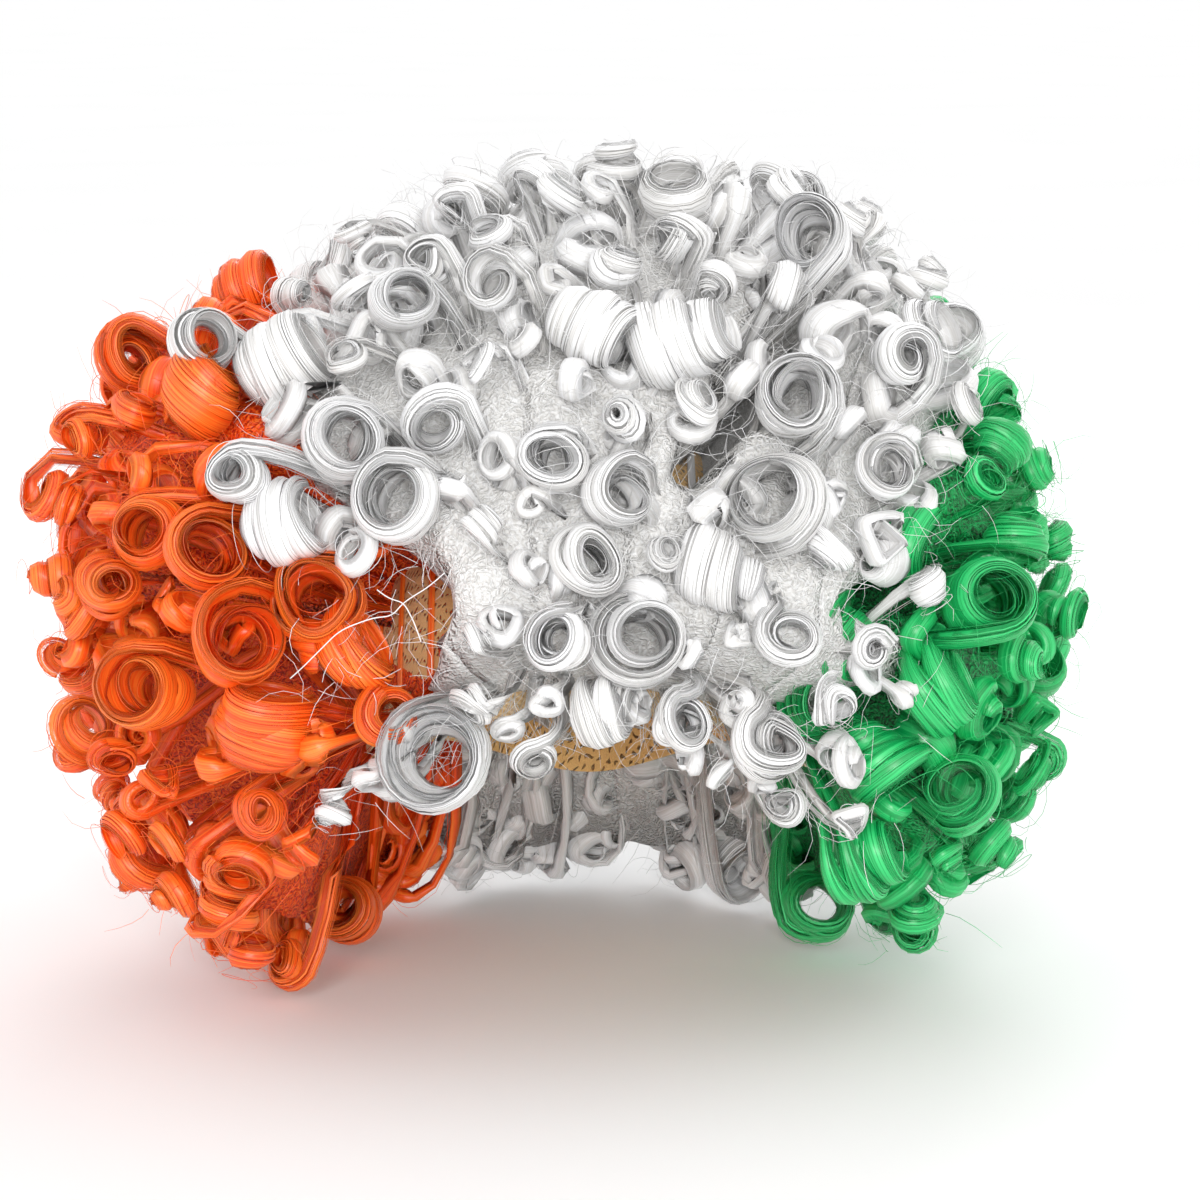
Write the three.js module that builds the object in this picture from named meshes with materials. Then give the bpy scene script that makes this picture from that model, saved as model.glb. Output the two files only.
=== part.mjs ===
// Curly festival wig: a knitted cap that fits the head, an elastic band round its edge,
// and curled hair in three colours, sewn on as wefts that run from the forehead to the nape.
//
// Millimetres. +Z is up, the face looks along -Y and +X is the wearer's left.
// The origin is the inside of the cap at the crown, where the top of the head bears.
//
// A place on the head is named by two angles in degrees: "across", from the middle of the
// head towards the wearer's left ear, and "along", from the crown towards the nape. A weft
// keeps one "across" from end to end, so wefts lie side by side like the rows of a field.

import * as THREE from "three";
import { mergeVertices } from "three/addons/utils/BufferGeometryUtils.js";

// The head that the cap fits
const HEAD_HALF_WIDTH = 77;
const HEAD_HALF_LENGTH = 96;
const CROWN_ABOVE_EARS = 105; // height of the crown over the widest level of the head
const LOWER_HEAD_DEPTH = 150; // how slowly the head narrows below that level

// The cap and its band
const CAP_WALL = 1.6;
const BAND_WIDTH = 9;
const BAND_WALL = 1.2;
const SEWING_GAP = 0.4; // clear space between pieces that are sewn together

// Where the cap ends, as the angle from the crown, seen round the head from the forehead,
// and how strongly the hair hangs there, as a share of its outward growth
const RIM = [
  { azimuth: 0, angle: 78, droop: 0.9 }, // forehead
  { azimuth: 50, angle: 85, droop: 1.2 }, // temple
  { azimuth: 90, angle: 98, droop: 4.0 }, // ear tab
  { azimuth: 125, angle: 100, droop: 3.5 }, // behind the ear
  { azimuth: 180, angle: 108, droop: 2.0 }, // nape
];

// How far the curls stand off the head at an angle from the crown, on each of its sides
const REACH = [
  { angle: 0, front: 98, orange: 98, back: 98, green: 98 },
  { angle: 30, front: 84, orange: 96, back: 100, green: 112 },
  { angle: 58, front: 58, orange: 136, back: 102, green: 108 },
  { angle: 80, front: 42, orange: 124, back: 98, green: 106 },
  { angle: 98, front: 40, orange: 106, back: 94, green: 104 },
  { angle: 110, front: 40, orange: 94, back: 90, green: 98 },
];

// Hair grows straight out at the crown, and from this share of the way to the rim it hangs
const DROOP_STARTS = 0.62;

// The coloured parts of the wig, from the wearer's right to the left, and their wefts
const COLOURS = [
  { name: "orange", from: -86, to: -36, wefts: 4, hex: 0xff5a14 },
  { name: "white", from: -36, to: 48, wefts: 6, hex: 0xf4f4f0 },
  { name: "green", from: 48, to: 86, wefts: 3, hex: 0x00a551 },
];
const PARTING = 2; // clear space between wefts, at the cap
const CAP_HEX = 0xe2b46a;
const BAND_HEX = 0xeccb94;

// A curl is a barrel of rolled hair with a hollow end, standing on the close hair
const CURL_RADIUS = 17;
const CURL_VARIES = 0.16; // share by which a curl may be smaller
const CURL_SPACING = 44; // between curls, measured at their outer ends
const CURL_STANDS = { least: 1.1, most: 1.6 }; // length above the close hair, in curl radii
const CURL_MOUND = 0.35; // height that the close hair rises to at a curl's foot
const CURL_FLARE = 1.08; // width of the outer end against the foot
const CURL_HOLLOW = { radius: 0.6, depth: 0.8 }; // in curl radii
const CURL_FILLS = 0.86; // share of the room between the edges of its plot that a foot takes
const CURL_LEAN = { weft: 18, curl: 4 }; // degrees along the weft: all its curls, and each one
const FULL_REACH = 90; // hair shorter than this has smaller curls
const SMALLEST_CURL = 0.55; // size of a curl in the shortest hair

// Facets
const CAP_COLUMNS = 26;
const CAP_ROWS = 5;
const CURL_SIDES = 7;
const FLATS_CUT_IN = 1.2; // how far the flats under the hair cut into the round of the head

// Finding the end of a weft and measuring its length
const FARTHEST_ALONG = 115; // degrees, past the rim everywhere
const HALVINGS = 30;
const LENGTH_SAMPLES = 80;

const { degToRad, radToDeg, lerp, smoothstep, clamp } = THREE.MathUtils;

// The value in a table's column at a place between two of its rows
function lookUp(table, key, place, column) {
  const next = table.findIndex((row) => row[key] >= place);
  if (next < 0) return table.at(-1)[column];
  if (next === 0) return table[0][column];
  const [low, high] = [table[next - 1], table[next]];
  const share = smoothstep(place, low[key], high[key]);
  return lerp(low[column], high[column], share);
}

// A number from 0 to 1 that is always the same for the same curl and purpose
function vary(weft, curl, purpose) {
  const wave = Math.sin(weft * 12.9898 + curl * 78.233 + purpose * 37.719) * 43758.5453;
  return wave - Math.floor(wave);
}

function headDirection(across, along) {
  const [a, b] = [degToRad(across), degToRad(along)];
  return new THREE.Vector3(Math.sin(a), Math.cos(a) * Math.sin(b), Math.cos(a) * Math.cos(b));
}

// Angle from the crown, and direction round the head from the forehead, 0 to 180
function polar(across, along) {
  const d = headDirection(across, along);
  return {
    angle: radToDeg(Math.acos(clamp(d.z, -1, 1))),
    azimuth: radToDeg(Math.atan2(Math.abs(d.x), -d.y)),
  };
}

function headHeight(direction) {
  return direction.z > 0 ? CROWN_ABOVE_EARS : LOWER_HEAD_DEPTH;
}

function headNormal(d) {
  const normal = new THREE.Vector3(d.x / HEAD_HALF_WIDTH, d.y / HEAD_HALF_LENGTH, d.z / headHeight(d));
  return normal.normalize();
}

// A point on the head in a direction from its middle, or lifted off it
function headPoint(d, lift = 0) {
  const height = headHeight(d);
  const point = new THREE.Vector3(
    d.x * HEAD_HALF_WIDTH,
    d.y * HEAD_HALF_LENGTH,
    d.z * height - CROWN_ABOVE_EARS,
  );
  return point.addScaledVector(headNormal(d), lift);
}

// The way the hair leaves the head: straight out on top, hanging at the edges of the cap
function growth(across, along) {
  const { angle, azimuth } = polar(across, along);
  const share = smoothstep(angle / rimAngle(azimuth), DROOP_STARTS, 1);
  const way = headNormal(headDirection(across, along));
  way.z -= lookUp(RIM, "azimuth", azimuth, "droop") * share ** 3;
  return way.normalize();
}

function reach(across, along) {
  const { angle, azimuth } = polar(across, along);
  const ahead = Math.cos(degToRad(azimuth));
  const side = across < 0 ? "orange" : "green";
  const end = ahead > 0 ? "front" : "back";
  const endReach = lookUp(REACH, "angle", angle, end);
  const sideReach = lookUp(REACH, "angle", angle, side);
  return lerp(sideReach, endReach, ahead * ahead);
}

function curlSize(across, along) {
  return CURL_RADIUS * clamp(reach(across, along) / FULL_REACH, SMALLEST_CURL, 1);
}

// Depth of the close hair that the curls stand on
function bankDepth(across, along) {
  return reach(across, along) - CURL_STANDS.most * curlSize(across, along);
}

const HAIR_STARTS = CAP_WALL + SEWING_GAP + FLATS_CUT_IN;

function hairPoint(across, along, depth) {
  const root = headPoint(headDirection(across, along), HAIR_STARTS);
  return root.addScaledVector(growth(across, along), depth);
}

function rimAngle(azimuth) {
  return lookUp(RIM, "azimuth", azimuth, "angle");
}

// Share of the way from the crown to the rim where the band starts
const BAND_STARTS = 1 - radToDeg(BAND_WIDTH / HEAD_HALF_LENGTH) / rimAngle(90);

// The "along" angle where a weft meets the band, at the forehead (-1) or at the nape (+1)
function weftEnd(across, end) {
  const gap = radToDeg(2 * SEWING_GAP / HEAD_HALF_WIDTH);
  let inside = 0;
  let outside = FARTHEST_ALONG;
  for (let halving = 0; halving < HALVINGS; halving++) {
    const middle = (inside + outside) / 2;
    const { angle, azimuth } = polar(across, end * middle);
    if (angle < rimAngle(azimuth) * BAND_STARTS - gap) inside = middle;
    else outside = middle;
  }
  return end * inside;
}

function middleOf(points) {
  const sum = points.reduce((total, point) => total.add(point), new THREE.Vector3());
  return sum.divideScalar(points.length);
}

// Faces of a strip between two rows of as many points. Each four-cornered face is split
// along its shorter diagonal, so that strips lying side by side have the same wall.
function stripFaces(near, far) {
  const faces = [];
  for (let k = 0; k + 1 < near.length; k++) {
    const [a, b, c, d] = [near[k], near[k + 1], far[k], far[k + 1]];
    if (a.distanceTo(d) < b.distanceTo(c)) faces.push([a, b, d], [a, d, c]);
    else faces.push([a, b, c], [b, d, c]);
  }
  return faces;
}

function closed(ring) {
  return [...ring, ring[0]];
}

function ringFaces(rings) {
  return rings.slice(1).flatMap((ring, r) => stripFaces(closed(rings[r]), closed(ring)));
}

function fanFaces(ring, point) {
  return ring.map((corner, k) => [corner, closed(ring)[k + 1], point]);
}

// Faces between an outer and an inner loop, each a list of { point, turn } in order of turn
function loopFaces(outer, inner) {
  const turnAt = (loop, k) => loop[k % loop.length].turn + 2 * Math.PI * Math.floor(k / loop.length);
  const at = (loop, k) => loop[k % loop.length].point;
  const faces = [];
  let [i, j] = [0, 0];
  while (i < outer.length || j < inner.length) {
    const outerFirst = turnAt(outer, i + 1) < turnAt(inner, j + 1);
    if (j >= inner.length || (outerFirst && i < outer.length)) {
      faces.push([at(outer, i), at(outer, i + 1), at(inner, j)]);
      i += 1;
    } else {
      faces.push([at(outer, i), at(inner, j + 1), at(inner, j)]);
      j += 1;
    }
  }
  return faces;
}

function geometryOf(faces) {
  const soup = new THREE.BufferGeometry().setFromPoints(faces.flat());
  const geometry = mergeVertices(soup, 1e-4);
  geometry.computeVertexNormals();
  return geometry;
}

// Round the head at a share of the way from the crown to the rim
function headRing(share, lift) {
  return Array.from({ length: CAP_COLUMNS }, (_, k) => {
    const turn = (k / CAP_COLUMNS) * 2 * Math.PI;
    const azimuth = radToDeg(Math.acos(clamp(Math.cos(turn), -1, 1)));
    const angle = degToRad(rimAngle(azimuth) * share);
    const flat = Math.sin(angle);
    const d = new THREE.Vector3(flat * Math.sin(turn), -flat * Math.cos(turn), Math.cos(angle));
    return headPoint(d, lift);
  });
}

// Knitted cap: inside wall from the crown down to the rim, then the outside wall back up
function capGeometry() {
  const shares = Array.from({ length: CAP_ROWS }, (_, r) => (r + 1) / CAP_ROWS);
  const inside = shares.map((share) => headRing(share, 0));
  const outside = shares.map((share) => headRing(share, CAP_WALL)).reverse();
  const crown = headDirection(0, 0);
  return geometryOf([
    ...fanFaces([...inside[0]].reverse(), headPoint(crown)),
    ...ringFaces([...inside, ...outside]),
    ...fanFaces(outside.at(-1), headPoint(crown, CAP_WALL)),
  ]);
}

// Elastic band: a flat ring sewn on the outside of the cap, along its rim
function bandGeometry() {
  const lifts = [CAP_WALL + SEWING_GAP, CAP_WALL + SEWING_GAP + BAND_WALL];
  const corners = [
    headRing(BAND_STARTS, lifts[0]),
    headRing(1, lifts[0]),
    headRing(1, lifts[1]),
    headRing(BAND_STARTS, lifts[1]),
  ];
  return geometryOf(ringFaces(closed(corners)));
}

// Shares of a weft's length between which its curls stand, evenly spaced at their outer ends
function plotShares(across) {
  const [front, back] = [weftEnd(across, -1), weftEnd(across, 1)];
  const lengths = [0];
  const end = (k) => {
    const along = lerp(front, back, k / LENGTH_SAMPLES);
    return hairPoint(across, along, reach(across, along));
  };
  for (let k = 1; k <= LENGTH_SAMPLES; k++) {
    lengths.push(lengths[k - 1] + end(k).distanceTo(end(k - 1)));
  }
  const whole = lengths.at(-1);
  const count = Math.round(whole / CURL_SPACING);
  return Array.from({ length: count + 1 }, (_, plot) => {
    const target = (plot / count) * whole;
    return plot === count ? 1 : lengths.findIndex((length) => length >= target) / LENGTH_SAMPLES;
  });
}

// One curl on its plot of close hair, with the flat hair round its foot. The corners of the
// plot go round it, starting with the two nearest the forehead.
function curlFaces(plot, across, along, weft, curl) {
  const slant = plot[2].clone().sub(plot[0]);
  const out = slant.cross(plot[3].clone().sub(plot[1])).normalize();
  const ahead = plot[2].clone().add(plot[3]).sub(plot[0]).sub(plot[1]);
  ahead.addScaledVector(out, -ahead.dot(out)).normalize();
  const side = ahead.clone().cross(out);
  const swing = CURL_LEAN.curl * (2 * vary(weft, curl, 1) - 1);
  const lean = CURL_LEAN.weft * (weft % 2 ? 1 : -1) + swing;
  const axis = out.clone().applyAxisAngle(side, degToRad(lean));

  const foot = middleOf(plot);
  const edges = plot.map((corner, k) => new THREE.Line3(corner, closed(plot)[k + 1]));
  const nearest = (edge) => edge.closestPointToPoint(foot, true, new THREE.Vector3());
  const room = CURL_FILLS * Math.min(...edges.map((edge) => nearest(edge).distanceTo(foot)));
  const radius = Math.min(curlSize(across, along), room) * (1 - CURL_VARIES * vary(weft, curl, 2));
  const highest = Math.max(...plot.map((corner) => corner.clone().sub(foot).dot(out)));
  foot.addScaledVector(out, highest);
  const stands = lerp(CURL_STANDS.least, CURL_STANDS.most, vary(weft, curl, 3));

  const turnOf = (point) => {
    const arm = point.clone().sub(foot);
    return Math.atan2(arm.dot(ahead), arm.dot(side));
  };
  const ring = (share, height) => Array.from({ length: CURL_SIDES }, (_, k) => {
    const turn = -Math.PI + ((k + 0.5) / CURL_SIDES) * 2 * Math.PI;
    const point = foot.clone().addScaledVector(axis, radius * height);
    point.addScaledVector(side, radius * share * Math.cos(turn));
    return point.addScaledVector(ahead, radius * share * Math.sin(turn));
  });
  const rings = [
    ring(1, CURL_MOUND),
    ring(CURL_FLARE, stands),
    ring(CURL_FLARE * CURL_HOLLOW.radius, stands),
    ring(CURL_HOLLOW.radius, stands - CURL_HOLLOW.depth),
  ];
  const inOrder = (loop) => {
    const corners = loop.map((point) => ({ point, turn: turnOf(point) }));
    return corners.sort((a, b) => a.turn - b.turn);
  };
  return [
    ...loopFaces(inOrder(plot), inOrder(rings[0])),
    ...ringFaces(rings),
    ...fanFaces(rings[3], middleOf(rings[3])),
  ];
}

// One weft: a bank of close hair between two "across" angles, with curls standing on it
function weftGeometry(from, to, number) {
  const parting = radToDeg(PARTING / HEAD_HALF_WIDTH) / 2;
  const placeAt = (column, share) => {
    const across = lerp(from + parting, to - parting, column);
    return [across, lerp(weftEnd(across, -1), weftEnd(across, 1), share)];
  };
  const corner = (column, share, rise) => {
    const place = placeAt(column, share);
    return hairPoint(...place, rise * bankDepth(...place));
  };
  const shares = plotShares((from + to) / 2);
  const rows = shares.map((share) => [
    corner(1, share, 1),
    corner(1, share, 0),
    corner(0.5, share, 0),
    corner(0, share, 0),
    corner(0, share, 1),
  ]);
  const faces = [
    ...fanFaces([...rows[0]].reverse(), middleOf(rows[0])),
    ...fanFaces(rows.at(-1), middleOf(rows.at(-1))),
  ];
  for (let k = 0; k + 1 < rows.length; k++) {
    const [near, far] = [rows[k], rows[k + 1]];
    const plot = [near[4], near[0], far[0], far[4]];
    const place = placeAt(0.5, (shares[k] + shares[k + 1]) / 2);
    faces.push(...stripFaces(near, far), ...curlFaces(plot, ...place, number, k));
  }
  return geometryOf(faces);
}

function sewnPiece(name, geometry, hex, roughness) {
  const material = new THREE.MeshStandardMaterial({ color: hex, roughness, metalness: 0 });
  const mesh = new THREE.Mesh(geometry, material);
  mesh.name = name;
  return mesh;
}

const wig = new THREE.Group();
wig.name = "festival_wig";
wig.add(sewnPiece("cap", capGeometry(), CAP_HEX, 0.9));
wig.add(sewnPiece("rim_band", bandGeometry(), BAND_HEX, 0.85));

let number = 0;
for (const { name, from, to, wefts, hex } of COLOURS) {
  for (let k = 0; k < wefts; k++) {
    const [start, end] = [lerp(from, to, k / wefts), lerp(from, to, (k + 1) / wefts)];
    number += 1;
    wig.add(sewnPiece(`weft_${name}_${k + 1}`, weftGeometry(start, end, number), hex, 0.35));
  }
}

export default wig;
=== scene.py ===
# %% [markdown]
# A curly festival wig in orange, white and green.
# A real one is a knitted cap with an elastic rim, and rows of curled synthetic hair sewn to it from front
# to back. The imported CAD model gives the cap, the rim band and each row of hair, called a weft, as plain
# solids. This lesson dresses them: every solid is replaced by a piece that has the real one's ringlets,
# knit, elastic and stitches, in the same place and at the same size.

import math

import bpy
import numpy as np
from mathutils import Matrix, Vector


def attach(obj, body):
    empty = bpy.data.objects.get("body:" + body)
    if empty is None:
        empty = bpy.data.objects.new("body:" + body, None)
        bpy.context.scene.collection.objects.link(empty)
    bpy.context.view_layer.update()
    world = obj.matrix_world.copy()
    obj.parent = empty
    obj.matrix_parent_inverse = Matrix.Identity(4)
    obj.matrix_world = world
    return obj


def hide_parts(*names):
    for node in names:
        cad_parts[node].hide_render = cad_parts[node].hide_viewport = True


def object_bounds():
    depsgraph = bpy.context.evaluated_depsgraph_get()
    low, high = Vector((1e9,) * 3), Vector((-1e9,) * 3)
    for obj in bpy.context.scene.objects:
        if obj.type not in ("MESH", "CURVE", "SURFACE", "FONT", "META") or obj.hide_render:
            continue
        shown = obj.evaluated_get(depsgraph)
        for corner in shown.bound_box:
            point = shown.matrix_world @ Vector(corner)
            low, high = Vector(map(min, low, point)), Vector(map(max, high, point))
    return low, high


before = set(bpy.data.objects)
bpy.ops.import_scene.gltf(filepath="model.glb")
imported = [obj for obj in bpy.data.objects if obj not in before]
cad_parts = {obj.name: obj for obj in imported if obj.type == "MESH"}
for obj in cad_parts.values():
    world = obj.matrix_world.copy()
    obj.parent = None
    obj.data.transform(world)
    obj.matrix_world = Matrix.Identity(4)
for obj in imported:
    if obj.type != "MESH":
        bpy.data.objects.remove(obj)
cad_box = [list(corner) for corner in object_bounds()]
bpy.ops.object.select_all(action="DESELECT")
print("CAD box in mm:", [[round(1000 * v) for v in corner] for corner in cad_box])

# %% [markdown]
# The camera comes first, because some ringlets are set where the photograph shows them.
# It stands straight in front, a little above level. The picture is square, so one half angle describes
# the whole view, and a small function can tell which pixel of the photograph a point falls on.

# %% Camera at the photograph's viewing angle
CAMERA_ELEVATION = math.radians(11)
CAMERA_DISTANCE = 1.2
CAMERA_AIM = np.array([0.0043, 0, -0.065])
HALF_VIEW = math.radians(10.2)
PHOTO_SIDE = 1200

to_camera = np.array([0, -math.cos(CAMERA_ELEVATION), math.sin(CAMERA_ELEVATION)])
camera_right = np.array([1.0, 0, 0])
camera_up = np.array([0, math.sin(CAMERA_ELEVATION), math.cos(CAMERA_ELEVATION)])
bpy.ops.object.camera_add(
    location=CAMERA_AIM + to_camera * CAMERA_DISTANCE,
    rotation=(math.pi / 2 - CAMERA_ELEVATION, 0, 0),
)
camera = bpy.context.object
camera.data.angle = 2 * HALF_VIEW
bpy.context.scene.camera = camera


def photo_pixels(points):
    """Where points fall in the photograph, and metres a pixel at their depth."""
    from_aim = points - CAMERA_AIM
    scale = (CAMERA_DISTANCE - from_aim @ to_camera) * math.tan(HALF_VIEW) / (PHOTO_SIDE / 2)
    right, up = from_aim @ camera_right / scale, from_aim @ camera_up / scale
    return np.stack([PHOTO_SIDE / 2 + right, PHOTO_SIDE / 2 - up], -1), scale


print("the crown is at pixel", photo_pixels(np.zeros(3))[0].round())

# %% [markdown]
# The CAD source describes the cap's inside as an ellipsoid, deeper below its widest round than above it,
# and the hair as something that grows out of the cap. The same rules are repeated here in metres, so that
# the ringlets stand where the solids stand. A place on the cap is given by two angles: across, from the
# orange side to the green side, and along, from the front edge over the crown to the nape. Numpy works on
# whole arrays, so one call handles any number of hairs.

# %% The cap's form, and how hair grows from it
CAP_HALF_WIDTH, CAP_HALF_LENGTH = 0.077, 0.096
CROWN_RISE, LOWER_CAP_DEPTH = 0.105, 0.150
CAP_WALL, SEWING_GAP, BAND_WALL, BAND_WIDTH = 0.0016, 0.0004, 0.0012, 0.009
HAIR_STARTS = CAP_WALL + SEWING_GAP + BAND_WALL
DROOP_STARTS = 0.62
FARTHEST_ALONG = 115
HALVINGS = 30
RIM = {
    "azimuth": [0, 50, 90, 125, 180],
    "angle": [78, 85, 98, 100, 108],
    "droop": [0.9, 1.2, 4.0, 3.5, 2.0],
}
REACH_MM = {
    "angle": [0, 30, 58, 80, 98, 110],
    "front": [98, 84, 58, 42, 40, 40],
    "orange": [98, 96, 136, 124, 106, 94],
    "back": [98, 100, 102, 98, 94, 90],
    "green": [98, 112, 108, 106, 104, 98],
}


def unit(vectors):
    return vectors / np.maximum(np.linalg.norm(vectors, axis=-1, keepdims=True), 1e-12)


def smooth(share):
    share = np.clip(share, 0, 1)
    return share * share * (3 - 2 * share)


def look_up(table, key, place, column):
    """A column's value at a place on the key column, eased between the rows."""
    keys, values = np.array(table[key], float), np.array(table[column], float)
    place = np.clip(place, keys[0], keys[-1])
    row = np.clip(np.searchsorted(keys, place, side="right") - 1, 0, len(keys) - 2)
    share = smooth((place - keys[row]) / (keys[row + 1] - keys[row]))
    return values[row] + (values[row + 1] - values[row]) * share


def cap_direction(across, along):
    a, b = np.radians(across), np.radians(along)
    return np.stack([np.sin(a) + 0 * b, np.cos(a) * np.sin(b), np.cos(a) * np.cos(b)], -1)


def polar(way):
    angle = np.degrees(np.arccos(np.clip(way[..., 2], -1, 1)))
    return angle, np.degrees(np.arctan2(np.abs(way[..., 0]), -way[..., 1]))


def cap_normal(way):
    height = np.where(way[..., 2] > 0, CROWN_RISE, LOWER_CAP_DEPTH)
    steep = [way[..., 0] / CAP_HALF_WIDTH, way[..., 1] / CAP_HALF_LENGTH, way[..., 2] / height]
    return unit(np.stack(steep, -1))


def cap_point(way, lift):
    height = np.where(way[..., 2] > 0, CROWN_RISE, LOWER_CAP_DEPTH)
    flat = np.stack([way[..., 0] * CAP_HALF_WIDTH, way[..., 1] * CAP_HALF_LENGTH,
                     way[..., 2] * height - CROWN_RISE], -1)
    return flat + cap_normal(way) * np.asarray(lift)[..., None]


def growth(way):
    """The way that hair leaves the cap: straight out at the crown, drooping near the rim."""
    angle, azimuth = polar(way)
    share = smooth((angle / look_up(RIM, "azimuth", azimuth, "angle") - DROOP_STARTS) / (1 - DROOP_STARTS))
    out = cap_normal(way).copy()
    out[..., 2] -= look_up(RIM, "azimuth", azimuth, "droop") * share**3
    return unit(out)


def reach(across, way):
    """How far the hair stands from the cap."""
    angle, azimuth = polar(way)
    ahead = np.cos(np.radians(azimuth))
    column = {name: look_up(REACH_MM, "angle", angle, name) / 1000
              for name in ("front", "orange", "back", "green")}
    side = np.where(np.asarray(across) < 0, column["orange"], column["green"])
    end = np.where(ahead > 0, column["front"], column["back"])
    return side + (end - side) * ahead**2


def hair_point(across, along, depth):
    way = cap_direction(across, along)
    return cap_point(way, np.full(way.shape[:-1], HAIR_STARTS)) + growth(way) * np.asarray(depth)[..., None]


BAND_SHARE = 1 - math.degrees(BAND_WIDTH / CAP_HALF_LENGTH) / look_up(RIM, "azimuth", np.array(90.0), "angle")


def weft_end(across, end):
    """How far along a weft runs towards the front edge (end -1) or the nape (end 1)."""
    near, far = np.zeros(np.shape(across)), np.full(np.shape(across), float(FARTHEST_ALONG))
    for _ in range(HALVINGS):
        middle = (near + far) / 2
        angle, azimuth = polar(cap_direction(across, end * middle))
        inside = angle < look_up(RIM, "azimuth", azimuth, "angle") * BAND_SHARE
        near, far = np.where(inside, middle, near), np.where(inside, far, middle)
    return end * near


print("hair at the crown stands", round(1000 * float(reach(0.0, cap_direction(0.0, 0.0)))), "mm")

# %% [markdown]
# Materials are node trees, and long node trees are easier to read as sums. A small class wraps a socket,
# so that adding two wires adds a Math node, and one method makes any other node from its type, its
# settings and what goes into its sockets.

# %% Shader wires
class Wire:
    """An output socket that can be used in sums."""

    def __init__(self, tree, socket=None):
        self.tree, self.socket = tree, socket

    def node(self, kind, settings=None, sockets=None, out=0):
        made = self.tree.nodes.new(kind)
        for name, value in (settings or {}).items():
            setattr(made, name, value)
        for key, value in (sockets or {}).items():
            if isinstance(value, Wire):
                self.tree.links.new(value.socket, made.inputs[key])
            else:
                made.inputs[key].default_value = value
        return Wire(self.tree, made.outputs[out])

    def maths(self, operation, a, b=0.0):
        return self.node("ShaderNodeMath", {"operation": operation}, {0: a, 1: b})

    def __add__(self, other):
        return self.maths("ADD", self, other)

    def __sub__(self, other):
        return self.maths("SUBTRACT", self, other)

    def __rsub__(self, other):
        return self.maths("SUBTRACT", other, self)

    def __mul__(self, other):
        return self.maths("MULTIPLY", self, other)

    def __truediv__(self, other):
        return self.maths("DIVIDE", self, other)

    def __abs__(self):
        return self.maths("ABSOLUTE", self)

    __radd__, __rmul__ = __add__, __mul__

    def between(self, low, high):
        """0 below low, 1 above high and eased between, as a mask."""
        settings = {"interpolation_type": "SMOOTHSTEP"}
        return self.node("ShaderNodeMapRange", settings, {"Value": self, "From Min": low, "From Max": high})

    def mix(self, colour_a, colour_b):
        """Colour a where this wire is 0 and colour b where it is 1."""
        settings = {"data_type": "RGBA", "clamp_factor": True}
        return self.node("ShaderNodeMix", settings, {0: self, 6: colour_a, 7: colour_b}, out=2)

    def scaled(self, scale):
        return self.node("ShaderNodeVectorMath", {"operation": "MULTIPLY"}, {0: self, 1: scale})


def new_finish(name):
    """A material with its Principled shader, and a wire to start its node tree from."""
    material = bpy.data.materials.new(name)
    material.use_nodes = True
    return material, material.node_tree.nodes["Principled BSDF"], Wire(material.node_tree)


def feed(shader, sockets):
    for name, value in sockets.items():
        if isinstance(value, Wire):
            value.tree.links.new(value.socket, shader.inputs[name])
        else:
            shader.inputs[name].default_value = value


# %% [markdown]
# Synthetic hair is shiny and its fibres lie side by side, so its finish is all in streaks that run along
# the lock. Every lock carries a UV map in millimetres, across the lock and along it. Noise that is
# stretched along the lock gives the streaks, and they change the colour, the gloss and the bump, and open
# gaps between the fibres. The colour runs from painted shade between the fibres, through the hair's own
# colour, to a painted highlight where fibres catch the light, and the streaks add painted glints to the
# fibres' own tone. Three attributes go with the map: lift is 0 at the root and 1 where the lock is free,
# and the lock is painted darker towards the root as painted shade under the hair; shade differs from lock
# to lock, and fray says how open the fibres stand: most at a band's edges and tip.

# %% Hair finish
STREAKS_A_MM, STREAK_RUN_A_MM = 2.3, 0.02
CLUMPS_A_MM, CLUMP_RUN_A_MM = 0.55, 0.012
# the lift weight paints shade towards the root; the streak weight is partly the fibres' own tone and partly painted
# glints
PAINTED_ROOT_SHADE, STREAK_TONE_AND_GLINT, CLUMP_TONE, SHADE_TONE = 0.4, 0.35, 0.3, 0.15
FRAY_OPENS, OPEN_BELOW, CLOSED_ABOVE = 0.19, 0.30, 0.60
SOLID = -3.0
HAIR_COLOURS = {
    # deep: painted shade between the fibres; middle: the hair's own colour; light: a painted highlight where fibres
    # catch the light
    "orange": ((0.42, 0.014, 0.0005, 1), (0.95, 0.085, 0.003, 1), (1.0, 0.22, 0.025, 1)),
    "white": ((0.47, 0.455, 0.43, 1), (0.69, 0.68, 0.665, 1), (0.85, 0.85, 0.86, 1)),
    "green": ((0.0, 0.06, 0.013, 1), (0.0, 0.33, 0.075, 1), (0.03, 0.56, 0.16, 1)),
}


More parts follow.
